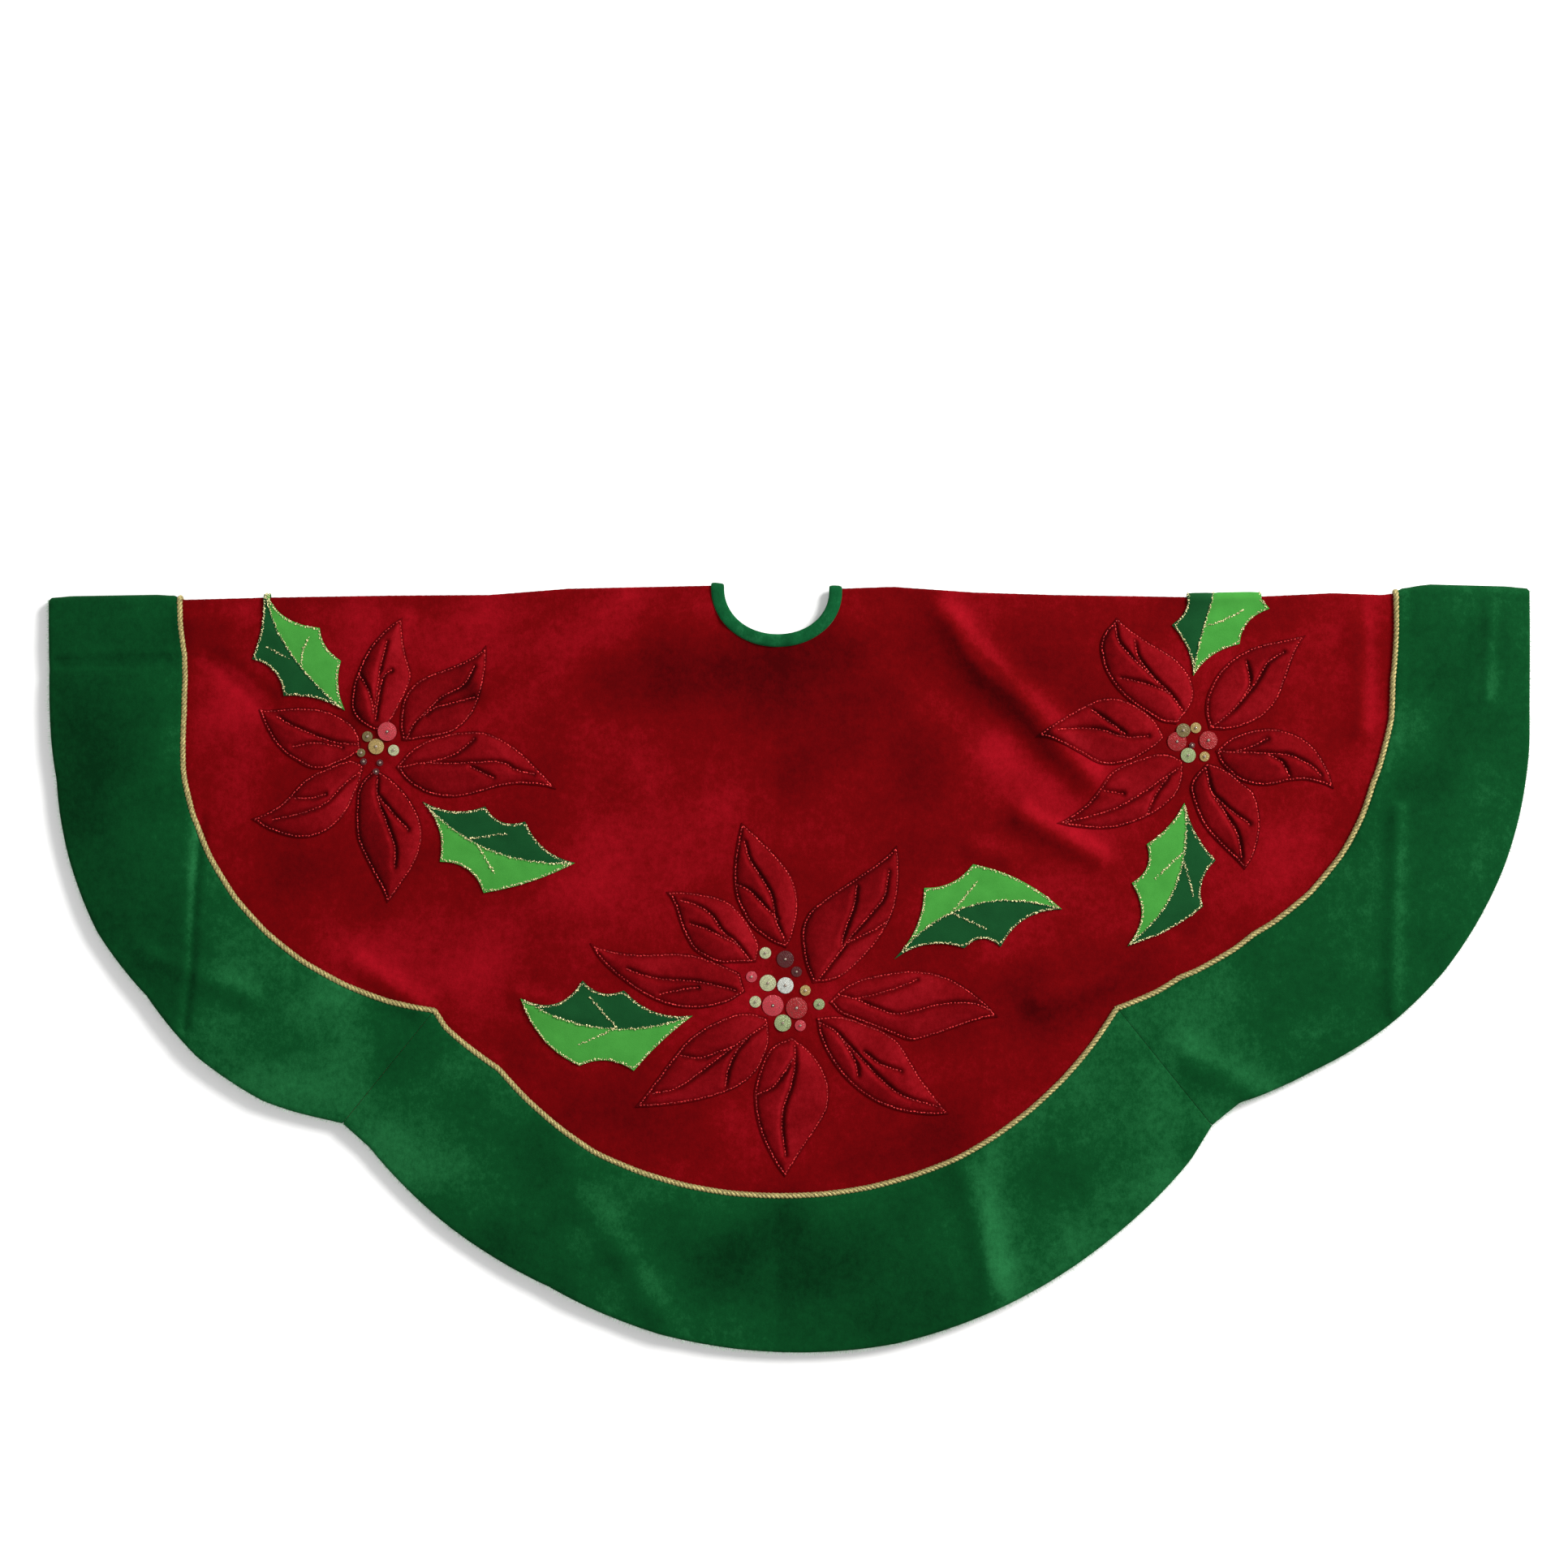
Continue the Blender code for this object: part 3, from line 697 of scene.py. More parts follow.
def inside(points, loop):
    """Which points lie inside an outline."""
    result = np.zeros(len(points), bool)
    for a, b in zip(loop, np.roll(loop, -1, axis=0)):
        if a[1] == b[1]:
            continue
        crosses = (points[:, 1] < a[1]) != (points[:, 1] < b[1])
        at = a[0] + (points[:, 1] - a[1]) * (b[0] - a[0]) / (b[1] - a[1])
        result ^= crosses & (points[:, 0] < at)
    return result


def inward(loop):
    """The way into a counter-clockwise outline at each of its points."""
    along = np.roll(loop, -1, axis=0) - np.roll(loop, 1, axis=0)
    aside = np.column_stack((-along[:, 1], along[:, 0]))
    return aside / np.maximum(np.linalg.norm(aside, axis=1), 1e-9)[:, None]


def edge_distance(points, loop):
    return nearest_on_path(points, np.vstack([loop, loop[:1]]))


def with_rows(loop, rows):
    """An outline with points added where it crosses the given rows."""
    made = []
    for a, b in zip(loop, np.roll(loop, -1, axis=0)):
        made.append(a)
        cuts = [row for row in rows if (a[1] - row) * (b[1] - row) < -1e-14]
        for row in sorted(cuts, key=lambda row: abs(row - a[1])):
            made.append(a + (b - a) * (row - a[1]) / (b[1] - a[1]))
    return np.array(made)


class Cloth:
    """An outline filled with points and triangles on the spread skirt."""

    def __init__(self, loop, step, rings=(), rows=(), lines=()):
        loop = with_rows(loop, rows)
        spots = [loop]
        for ring in rings:
            ringed = loop + inward(loop) * ring
            kept = (edge_distance(ringed, loop) > 0.93 * ring) & inside(ringed, loop)
            if len(rows):
                kept &= np.abs(ringed[:, 1]) > FOLD_RUN + ring / 2
            spots.append(ringed[kept])
        low, high = loop.min(0), loop.max(0)
        for row in rows:
            across = np.arange(low[0] + step / 2, high[0], step)
            line = np.column_stack((across, np.full(len(across), row)))
            kept = inside(line, loop) & (edge_distance(line, loop) > 0.3 * step)
            spots.append(line[kept])
        field = []
        for k, y in enumerate(np.arange(low[1], high[1], step * 0.866)):
            across = np.arange(low[0] + (k % 2) * step / 2, high[0], step)
            field.append(np.column_stack((across, np.full(len(across), y))))
        field = np.vstack(field)
        field = field[inside(field, loop)]
        rim = max(rings, default=0) + 0.45 * step
        kept = edge_distance(field, loop) > rim
        if len(rows):
            kept &= np.abs(field[:, 1]) > FOLD_RUN + 0.4 * step
        for line in lines:
            kept &= nearest_on_path(field, line) > 0.45 * step
        spots.append(field[kept])
        edges = [(k, (k + 1) % len(loop)) for k in range(len(loop))]
        for line in lines:
            start = sum(len(spot) for spot in spots)
            spots.append(np.asarray(line))
            edges += [(start + k, start + k + 1) for k in range(len(line) - 1)]
        made = delaunay_2d_cdt(
            [Vector(p) for p in np.vstack(spots)], edges, [list(range(len(loop)))], 1, 1e-7, False
        )
        self.points = np.array([tuple(v) for v in made[0]])
        faces = np.array([tuple(face) for face in made[2]])
        faces = faces[inside(self.points[faces].mean(axis=1), loop)]
        self.faces = [tuple(int(v) for v in face) for face in faces]
        self.loop = loop
        self.from_edge = edge_distance(self.points, loop)


def linked(name, data):
    """An object of the scene, at the origin."""
    made = bpy.data.objects.new(name, data)
    bpy.context.scene.collection.objects.link(made)
    return made


def smoothed(mesh):
    mesh.shade_smooth()
    mesh.set_sharp_from_angle(angle=math.radians(SHARP_ANGLE))
    return mesh


def new_object(name, points, faces, look):
    mesh = bpy.data.meshes.new(name)
    mesh.from_pydata([tuple(p) for p in points], [], faces)
    mesh.validate()
    mesh.materials.append(look)
    return linked(name, smoothed(mesh))


def add_values(piece, name, values):
    attribute = piece.data.attributes.new(name, "FLOAT", "POINT")
    attribute.data.foreach_set("value", np.asarray(values, np.float32))


def sewn(name, layers, look, pile_and_shade_patches=(), seed=5, strips=0.0):
    """A closed piece from one or more cloths between two heights, folded and laid."""
    points, nap_and_light_values, faces = [], [], []
    for cloth, low, high, *shade in layers:
        start, count = sum(len(part) for part in points), len(cloth.points)
        points += [laid(cloth.points, np.broadcast_to(h, count)) for h in (high, low)]
        faces += [tuple(v + start for v in face) for face in cloth.faces]
        faces += [tuple(v + start + count for v in face[::-1]) for face in cloth.faces]
        sides = [(b, a, a + count, b + count) for a, b in free_edges(cloth.faces)]
        faces += [tuple(v + start for v in face) for face in sides]
        flat = cloth.points[:, 0] / MM
        # Painted light and shade in steps from one stretch between packing creases to the next.
        strip = sum(step * smooth(at - 4, at + 4, flat) for at, step in zip(CREASES, STRIP_PAINTED_SHADES))
        # Each point's tone: the pile's patches and waves with painted light and shade, the painted shade steps
        # between packing creases, and any painted shade the layer brings.
        nap_and_light_values += [pile_and_painted_light(cloth.points, pile_and_shade_patches, seed) + strips * strip + sum(shade)] * 2
    piece = new_object(name, np.vstack(points), faces, look)
    add_values(piece, "nap", np.concatenate(nap_and_light_values))
    return piece


def pillow(distance, radius):
    """0 at a sewn edge and 1 past the radius, round between."""
    share = np.clip(1 - distance / radius, 0, 1)
    return np.sqrt(1 - share * share)


def settle(piece, replaced, side=None, body="front"):
    """Puts a piece on its body, or, for a piece over the fold of one side, bakes its placing into its mesh."""
    if side:
        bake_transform(piece)
    else:
        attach(piece, body)
    if replaced:
        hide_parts(*replaced)
    return piece


def declare_sheet(cloth):
    size = cloth.loop.max(0) - cloth.loop.min(0)
    area = min(abs(signed_area(cloth.loop)), size[0] * size[1])


# --- finishes --------------------------------------------------------------------------------------


class Wire:
    """A socket of a node tree. Arithmetic on it adds Math nodes."""

    def __init__(self, graph, socket):
        self.graph = graph
        self.socket = socket

    def math(self, operation, *values):
        inputs = dict(enumerate(values))
        return self.graph.node("ShaderNodeMath", {"operation": operation}, inputs)

    def __add__(self, other):
        return self.math("ADD", self, other)

    def __sub__(self, other):
        return self.math("SUBTRACT", self, other)

    def __rsub__(self, other):
        return self.math("SUBTRACT", other, self)

    def __mul__(self, other):
        return self.math("MULTIPLY", self, other)

    def __truediv__(self, other):
        return self.math("DIVIDE", self, other)

    def __rtruediv__(self, other):
        return self.math("DIVIDE", other, self)

    __radd__ = __add__
    __rmul__ = __mul__

    def beside(self, name):
        """Another output of the same node."""
        return Wire(self.graph, self.socket.node.outputs[name])

    def kept(self):
        """The value held between 0 and 1."""
        return self.math("MINIMUM", self.math("MAXIMUM", self, 0.0), 1.0)


class Graph:
    """A node tree under construction."""

    def __init__(self, tree):
        self.tree = tree
        tree.nodes.clear()

    def node(self, kind, settings=None, inputs=None, output=0):
        made = self.tree.nodes.new(kind)
        for name, value in (settings or {}).items():
            if name == "stops":
                while len(made.color_ramp.elements) < len(value):
                    made.color_ramp.elements.new(0.5)
                for element, (at, colour) in zip(made.color_ramp.elements, value):
                    element.position = at
                    element.color = (*colour, 1.0)
            else:
                setattr(made, name, value)
        for key, value in (inputs or {}).items():
            self.feed(made.inputs[key], value)
        return Wire(self, made.outputs[output]) if len(made.outputs) else None

    def feed(self, socket, value):
        if isinstance(value, list):
            for part in value:
                self.feed(socket, part)
        elif isinstance(value, Wire):
            self.tree.links.new(value.socket, socket)
        elif isinstance(value, tuple) and len(value) == 3 and socket.type == "RGBA":
            socket.default_value = (*value, 1.0)
        else:
            socket.default_value = value


class Finish(Graph):
    """A material's node tree, with the few patterns that the skirt's cloths share."""

    def __init__(self, name):
        self.material = bpy.data.materials.new(name)
        self.material.use_nodes = True
        super().__init__(self.material.node_tree)
        self.place = self.node("ShaderNodeTexCoord", output="Object")

    def cloudy(self, scale, detail=2.0, rough=0.5, stretch=None):
        """Noise of that many patches to the metre."""
        place = self.place
        if stretch:
            place = self.node("ShaderNodeMapping", None, {"Vector": place, "Scale": stretch})
        inputs = {"Vector": place, "Scale": scale, "Detail": detail, "Roughness": rough}
        return self.node("ShaderNodeTexNoise", None, inputs)

    def value_of(self, name):
        settings = {"attribute_name": name}
        return self.node("ShaderNodeAttribute", settings, output="Fac")

    def mixed(self, share, first, second):
        inputs = {"Factor": share, 6: first, 7: second}
        return self.node("ShaderNodeMix", {"data_type": "RGBA"}, inputs, output=2)

    def raised(self, height, strength, distance):
        inputs = {"Height": height, "Strength": strength, "Distance": distance}
        return self.node("ShaderNodeBump", None, inputs)

    def ribs(self, scale, direction="Y"):
        settings = {"wave_type": "BANDS", "bands_direction": direction}
        inputs = {"Vector": self.place, "Scale": scale, "Distortion": 0.6, "Detail": 2.0, "Detail Scale": 3.0}
        return self.node("ShaderNodeTexWave", settings, inputs, output="Fac")

    def done(self, **inputs):
        shader = self.node("ShaderNodeBsdfPrincipled", None, inputs)
        self.node("ShaderNodeOutputMaterial", None, {"Surface": shader})
        return self.material


def velvet(name, deep, mid, bright, sheen, tint, unevenness=0.5, ribs=0.0, fur=0.35):
    """Crushed velvet: patches where the pile lies up or down, over a fine upright pile, with the painted light
    and shade that the nap values bring.
    """
    finish = Finish(name)
    broad = finish.cloudy(7.0, 4.0, 0.6)
    streaks = finish.cloudy(26.0, 4.0, 0.62, (1.0, 0.55, 1.0))
    crush = finish.cloudy(150.0, 3.0, 0.6)
    grain = finish.cloudy(520.0, 3.0, 0.7, (1.0, 0.6, 1.0))
    pile = finish.cloudy(1500.0, 2.0, 0.6)
    # The nap values carry painted light and shade as well as the pile's own patches.
    shade = finish.value_of("nap") + (broad - 0.5) * unevenness + (streaks - 0.5) * unevenness
    shade = shade + (crush - 0.5) * 0.42 + (grain - 0.5) * 0.34 + (pile - 0.5) * 0.30 + 0.5
    height = pile + crush * 0.6
    if ribs:
        rows = finish.ribs(520.0)
        shade = shade + (rows - 0.5) * ribs
        height = height + rows * 0.8
    stops = ((0.0, deep), (0.5, mid), (1.0, bright))
    colour = finish.node("ShaderNodeValToRGB", {"stops": stops}, {"Fac": shade.kept()})
    inputs = {
        "Base Color": colour,
        "Roughness": (0.95 - shade.kept() * 0.25),
        "Normal": finish.raised(height, fur, 0.0007),
        "Sheen Weight": sheen,
        "Sheen Roughness": 0.38,
        "Sheen Tint": (*tint, 1.0),
        "Specular IOR Level": 0.03,
    }
    return finish.done(**inputs)


def leaf_velvet():
    """Short velvet in two greens, one each side of the midrib."""
    finish = Finish("leaf_velvet")
    side = finish.value_of("light_side")
    crush = finish.cloudy(60.0, 4.0, 0.6)
    pile = finish.cloudy(1500.0, 2.0, 0.6)
    shade = ((crush - 0.5) * 0.7 + (pile - 0.5) * 0.35 + 0.5).kept()
    dark = finish.mixed(shade, LEAF_DARK[0], LEAF_DARK[1])
    light = finish.mixed(shade, LEAF_LIGHT[0], LEAF_LIGHT[1])
    inputs = {
        "Base Color": finish.mixed(side, dark, light),
        "Roughness": 0.88 - shade * 0.15,
        "Normal": finish.raised(pile + crush * 0.5, 0.3, 0.0006),
        "Sheen Weight": 0.08,
        "Sheen Roughness": 0.4,
        "Sheen Tint": (0.3, 1.0, 0.3, 1.0),
        "Specular IOR Level": 0.05,
    }
    return finish.done(**inputs)


def metallic_thread(name, dark, bright, metallic, scale, rough=0.3):
    """Foil-wound thread with painted glints: the base colour is painted bright on some facets, where they
    would catch the light.
    """
    finish = Finish(name)
    inputs = {"Vector": finish.place, "Scale": scale}
    facet_glints = finish.node("ShaderNodeTexVoronoi", None, inputs, output="Color")
    split = finish.node("ShaderNodeSeparateColor", None, {"Color": facet_glints})
    grain = finish.cloudy(scale * 1.7, 2.0)
    inputs = {
        # Painted glints: some facets get a much brighter base colour.
        "Base Color": finish.mixed((split * 0.75 + grain * 0.4).kept(), dark, bright),
        "Roughness": (rough + grain * 0.25).kept(),
        "Metallic": metallic,
        "Normal": finish.raised(split + grain, 0.6, 0.0004),
        "Specular IOR Level": 0.3,
    }
    return finish.done(**inputs)


def sequin_plastic():
    """Pressed plastic sequins, each in its own colour, some of them crackled."""
    finish = Finish("sequin_plastic")
    colour = finish.node("ShaderNodeAttribute", {"attribute_name": "tint"}, output="Color")
    crackle = finish.node(
        "ShaderNodeTexVoronoi", {"feature": "DISTANCE_TO_EDGE"}, {"Vector": finish.place, "Scale": 650.0}
    )
    lines = (1.0 - crackle * 9.0).kept()
    grain = finish.cloudy(420.0, 3.0)
    darker = finish.mixed(lines * 0.55 + grain * 0.2, colour, (0.05, 0.03, 0.02))
    inputs = {
        "Base Color": darker,
        "Roughness": (0.16 + grain * 0.3).kept(),
        "Metallic": 0.15,
        "Normal": finish.raised(lines * -1.0 + grain, 0.4, 0.0003),
        "Coat Weight": 0.08,
        "Coat Roughness": 0.25,
        "Specular IOR Level": 0.22,
    }
    return finish.done(**inputs)


def pale_fibre():
    finish = Finish("pale_fibre")
    grain = finish.cloudy(900.0, 1.0)
    inputs = {
        # Painted sheen: the fibres run from the pile's green to a pale tone, for the pile that catches the
        # light at the rim.
        "Base Color": finish.mixed(grain, (0.06, 0.22, 0.10), (0.60, 0.72, 0.60)),
        "Roughness": 0.8,
        "Specular IOR Level": 0.2,
    }
    return finish.done(**inputs)


def bead_glass():
    finish = Finish("bead_glass")
    grain = finish.cloudy(300.0, 2.0)
    inputs = {
        "Base Color": finish.mixed(grain, (0.10, 0.07, 0.05), (0.34, 0.26, 0.20)),
        "Roughness": (0.06 + grain * 0.12).kept(),
        "Coat Weight": 0.6,
    }
    return finish.done(**inputs)


def woven_lining():
    """Plain woven lining: fine threads both ways and a soft satin shine."""
    finish = Finish("woven_lining")
    warp, weft = finish.ribs(700.0, "X"), finish.ribs(700.0, "Y")
    cloud = finish.cloudy(18.0, 3.0)
    shade = (warp * 0.3 + weft * 0.3 + cloud * 0.5).kept()
    inputs = {
        "Base Color": finish.mixed(shade, (0.16, 0.004, 0.008), (0.34, 0.012, 0.02)),
        "Roughness": (0.55 + cloud * 0.15).kept(),
        "Normal": finish.raised(warp + weft, 0.3, 0.0003),
        "Sheen Weight": 0.15,
    }
    return finish.done(**inputs)


def fastening_tape(name, scale, dark, bright):
    """Hook or loop tape: a dense field of tiny ends on a woven band."""
    finish = Finish(name)
    ends = finish.node("ShaderNodeTexVoronoi", None, {"Vector": finish.place, "Scale": scale})
    rows = finish.ribs(400.0, "X")
    shade = (ends * 0.8 + rows * 0.3).kept()
    inputs = {
        "Base Color": finish.mixed(shade, dark, bright),
        "Roughness": (0.75 + ends * 0.2).kept(),
        "Normal": finish.raised(ends + rows * 0.4, 0.8, 0.0008),
    }
    return finish.done(**inputs)


FINISHES = {
    "red": velvet(
        "red_velvet_pile", (0.040, 0.0001, 0.0006), (0.108, 0.0002, 0.0010), (0.245, 0.0018, 0.0070),
        0.08, (1.0, 0.04, 0.07), unevenness=0.26,
    ),
    "petal": velvet(
        "petal_velvet_pile", (0.028, 0.0001, 0.0005), (0.120, 0.0005, 0.0018), (0.260, 0.0045, 0.0100),
        0.08, (1.0, 0.05, 0.08), unevenness=0.30, ribs=0.22,
    ),
    "green": velvet(
        "green_velvet_pile", (0.0006, 0.0170, 0.0040), (0.0016, 0.0430, 0.0100), (0.0120, 0.1150, 0.0350),
        0.08, (0.25, 1.0, 0.4), unevenness=0.34,
    ),
    "binding": velvet(
        "binding_velvet_pile", (0.0010, 0.022, 0.006), (0.003, 0.062, 0.018), (0.020, 0.160, 0.060),
        0.10, (0.3, 1.0, 0.5), unevenness=0.3,
    ),
    "leaf": leaf_velvet(),
    "gold_twist": metallic_thread(
        "gold_twist", (0.080, 0.064, 0.018), (0.42, 0.35, 0.14), 0.35, 900.0, 0.38
    ),
    "gold_glitter": metallic_thread(
        "gold_glitter", (0.16, 0.13, 0.03), (0.95, 0.88, 0.50), 0.5, 1400.0, 0.25
    ),
    "red_thread": metallic_thread(
        "red_foil_thread", (0.055, 0.0006, 0.0020), (0.62, 0.026, 0.030), 0.4, 420.0, 0.32
    ),
    "sequins": sequin_plastic(),
    "bead": bead_glass(),
    "fuzz": pale_fibre(),
    "lining": woven_lining(),
    "hook": fastening_tape("hook_tape", 900.0, (0.03, 0.03, 0.03), (0.11, 0.11, 0.11)),
    "loop": fastening_tape("loop_tape", 1400.0, (0.05, 0.05, 0.05), (0.16, 0.16, 0.16)),
}


# --- what repeats: cord strands, stitches, glitter, sequins, fuzz ----------------------------------


class Repeater(Graph):
    """A geometry tree that takes lines or points and named sizes, and gives one mesh."""

    def __init__(self, name, sizes):
        super().__init__(bpy.data.node_groups.new(name, "GeometryNodeTree"))
        sockets = self.tree.interface
        sockets.new_socket("Lines", in_out="INPUT", socket_type="NodeSocketGeometry")
        self.identifiers = {}
        for size, value in sizes.items():
            made = sockets.new_socket(size, in_out="INPUT", socket_type="NodeSocketFloat")
            made.default_value = value
            self.identifiers[size] = made.identifier
        sockets.new_socket("Mesh", in_out="OUTPUT", socket_type="NodeSocketGeometry")
        self.group = self.tree.nodes.new("NodeGroupInput")

    def given(self, name):
        return Wire(self, self.group.outputs[name])

    def vector(self, operation, first, second):
        return self.node("ShaderNodeVectorMath", {"operation": operation}, {0: first, 1: second})

    def scaled(self, vector, scale):
        return self.node("ShaderNodeVectorMath", {"operation": "SCALE"}, {0: vector, "Scale": scale})

    def triple(self, x, y, z):
        return self.node("ShaderNodeCombineXYZ", None, {"X": x, "Y": y, "Z": z})

    def scattered(self, low, high, seed):
        """A random number or a random vector for each point, always the same."""
        whole = isinstance(low, tuple)
        kind = {"data_type": "FLOAT_VECTOR" if whole else "FLOAT"}
        inputs = {0 if whole else 2: low, 1 if whole else 3: high, "Seed": seed}
        return self.node("FunctionNodeRandomValue", kind, inputs, output=0 if whole else 1)

    def named(self, name, kind):
        return self.node("GeometryNodeInputNamedAttribute", {"data_type": kind}, {"Name": name})

    def spaced(self, every):
        """Points along the lines, that far apart."""
        curve = self.node("GeometryNodeMeshToCurve", None, {"Mesh": self.given("Lines")})
        inputs = {"Curve": curve, "Length": every}
        return self.node("GeometryNodeCurveToPoints", {"mode": "LENGTH"}, inputs)

    def placed(self, points, shape, rotation, scale):
        inputs = {"Points": points, "Instance": shape, "Rotation": rotation, "Scale": scale}
        return self.node("GeometryNodeInstanceOnPoints", None, inputs)

    def end(self, geometry, look):
        real = self.node("GeometryNodeRealizeInstances", None, {"Geometry": geometry})
        dressed = self.node("GeometryNodeSetMaterial", None, {"Geometry": real, "Material": look})
        self.node("NodeGroupOutput", None, {"Mesh": dressed})
        return self

    def made(self, name, lines, values=None, **sizes):
        """The mesh that the tree makes of these lines, as a plain object."""
        source = bpy.data.meshes.new(name + "_lines")
        points, edges = [], []
        for line in lines:
            edges += [(len(points) + k, len(points) + k + 1) for k in range(len(line) - 1)]
            points += [tuple(p) for p in line]
        source.from_pydata(points, edges, [])
        for key, (kind, numbers) in (values or {}).items():
            attribute = source.attributes.new(key, kind, "POINT")
            field = {"FLOAT": "value", "FLOAT_VECTOR": "vector", "FLOAT_COLOR": "color"}[kind]
            attribute.data.foreach_set(field, np.asarray(numbers, np.float32).ravel())
        piece = linked(name, source)
        modifier = piece.modifiers.new("repeated", "NODES")
        modifier.node_group = self.tree
        for size, value in sizes.items():
            modifier[self.identifiers[size]] = value
        graph = bpy.context.evaluated_depsgraph_get()
        mesh = bpy.data.meshes.new_from_object(piece.evaluated_get(graph), depsgraph=graph)
        piece.modifiers.clear()
        piece.data = smoothed(mesh)
        mesh.name = name
        return piece


def cord_tree():
    """Strands laid round each other along a line."""
    sizes = {"Pitch": CORD_PITCH, "Strand Radius": 0.00128, "Offset": 0.00118, "Step": 0.0011}
    tree = Repeater("twisted_cord", sizes)
    line = tree.node("GeometryNodeMeshToCurve", None, {"Mesh": tree.given("Lines")})
    inputs = {"Curve": line, "Length": tree.given("Step")}
    line = tree.node("GeometryNodeResampleCurve", {"mode": "LENGTH"}, inputs)
    along = tree.node("GeometryNodeSplineParameter", output="Length")
    normal = tree.node("GeometryNodeInputNormal")
    side = tree.vector("CROSS_PRODUCT", tree.node("GeometryNodeInputTangent"), normal)
    profile = {"Resolution": 8, "Radius": tree.given("Strand Radius")}
    profile = tree.node("GeometryNodeCurvePrimitiveCircle", None, profile)
    strands = []
    for strand in range(3):
        turn = along / tree.given("Pitch") * (2 * math.pi) + strand * 2 * math.pi / 3
        across = tree.scaled(normal, turn.math("COSINE", turn) * tree.given("Offset"))
        up = tree.scaled(side, turn.math("SINE", turn) * tree.given("Offset"))
        inputs = {"Geometry": line, "Offset": tree.vector("ADD", across, up)}
        moved = tree.node("GeometryNodeSetPosition", None, inputs)
        inputs = {"Curve": moved, "Profile Curve": profile, "Fill Caps": True}
        strands.append(tree.node("GeometryNodeCurveToMesh", None, inputs))
    joined = tree.node("GeometryNodeJoinGeometry", None, {"Geometry": strands})
    return tree.end(joined, FINISHES["gold_twist"])


def stitch_tree():
    """A row of short, plump stitches along a line."""
    tree = Repeater("stitches", {"Every": 0.0027, "Length": 0.0030, "Radius": 0.00056})
    points = tree.spaced(tree.given("Every"))
    jitter = tree.scattered((-0.14, -0.14, -0.08), (0.14, 0.14, 0.08), 4)
    heading = tree.vector("ADD", points.beside("Tangent"), jitter)
    turn = tree.node("FunctionNodeAlignRotationToVector", {"axis": "Z"}, {"Vector": heading})
    shape = tree.node("GeometryNodeMeshUVSphere", None, {"Segments": 6, "Rings": 4, "Radius": 1.0})
    half = tree.given("Length") * tree.scattered(0.24, 0.50, 9)
    thick = tree.given("Radius") * tree.scattered(0.8, 1.25, 10)
    scale = tree.triple(thick, thick, half)
    away = tree.scattered((-0.0003, -0.0003, 0.0), (0.0003, 0.0003, 0.0003), 11)
    moved = tree.node("GeometryNodeSetPosition", None, {"Geometry": points, "Offset": away})
    return tree.end(tree.placed(moved, shape, turn, scale), FINISHES["red_thread"])


def glitter_tree():
    """A line of loose bright flakes."""
    tree = Repeater("glitter", {"Every": 0.00062, "Width": 0.0015, "Flake": 0.00048})
    points = tree.spaced(tree.given("Every"))
    reach = tree.given("Width") * 0.5
    away = tree.scaled(tree.scattered((-1.0, -1.0, -0.05), (1.0, 1.0, 0.25), 3), reach)
    moved = tree.node("GeometryNodeSetPosition", None, {"Geometry": points, "Offset": away})
    shape = tree.node("GeometryNodeMeshIcoSphere", None, {"Radius": 1.0, "Subdivisions": 1})
    turn = tree.scattered((0.0, 0.0, 0.0), (6.2, 6.2, 6.2), 6)
    size = tree.given("Flake") * tree.scattered(0.4, 1.9, 7)
    scale = tree.triple(size, size * tree.scattered(0.6, 1.4, 8), size * 0.6)
    return tree.end(tree.placed(moved, shape, turn, scale), FINISHES["gold_glitter"])


def fuzz_tree():
    """Short fibres that stand out from a line, the way the attribute out points."""
    tree = Repeater("fuzz", {"Every": 0.00042, "Length": 0.0028, "Radius": 0.00013})
    points = tree.spaced(tree.given("Every"))
    jitter = tree.scattered((-0.7, -0.7, -0.7), (0.7, 0.7, 0.9), 12)
    heading = tree.vector("ADD", tree.named("out", "FLOAT_VECTOR"), jitter)
    turn = tree.node("FunctionNodeAlignRotationToVector", {"axis": "Z"}, {"Vector": heading})
    away = tree.scattered((-0.0004, -0.0004, -0.0014), (0.0004, 0.0004, 0.0014), 13)
    moved = tree.node("GeometryNodeSetPosition", None, {"Geometry": points, "Offset": away})
    inputs = {"Vertices": 3, "Radius Top": 0.15, "Radius Bottom": 1.0, "Depth": 1.0}
    shape = tree.node("GeometryNodeMeshCone", None, inputs)
    thick = tree.given("Radius") * tree.scattered(0.7, 1.3, 14)
    scale = tree.triple(thick, thick, tree.given("Length") * tree.scattered(0.5, 1.4, 15))
    return tree.end(tree.placed(moved, shape, turn, scale), FINISHES["fuzz"])


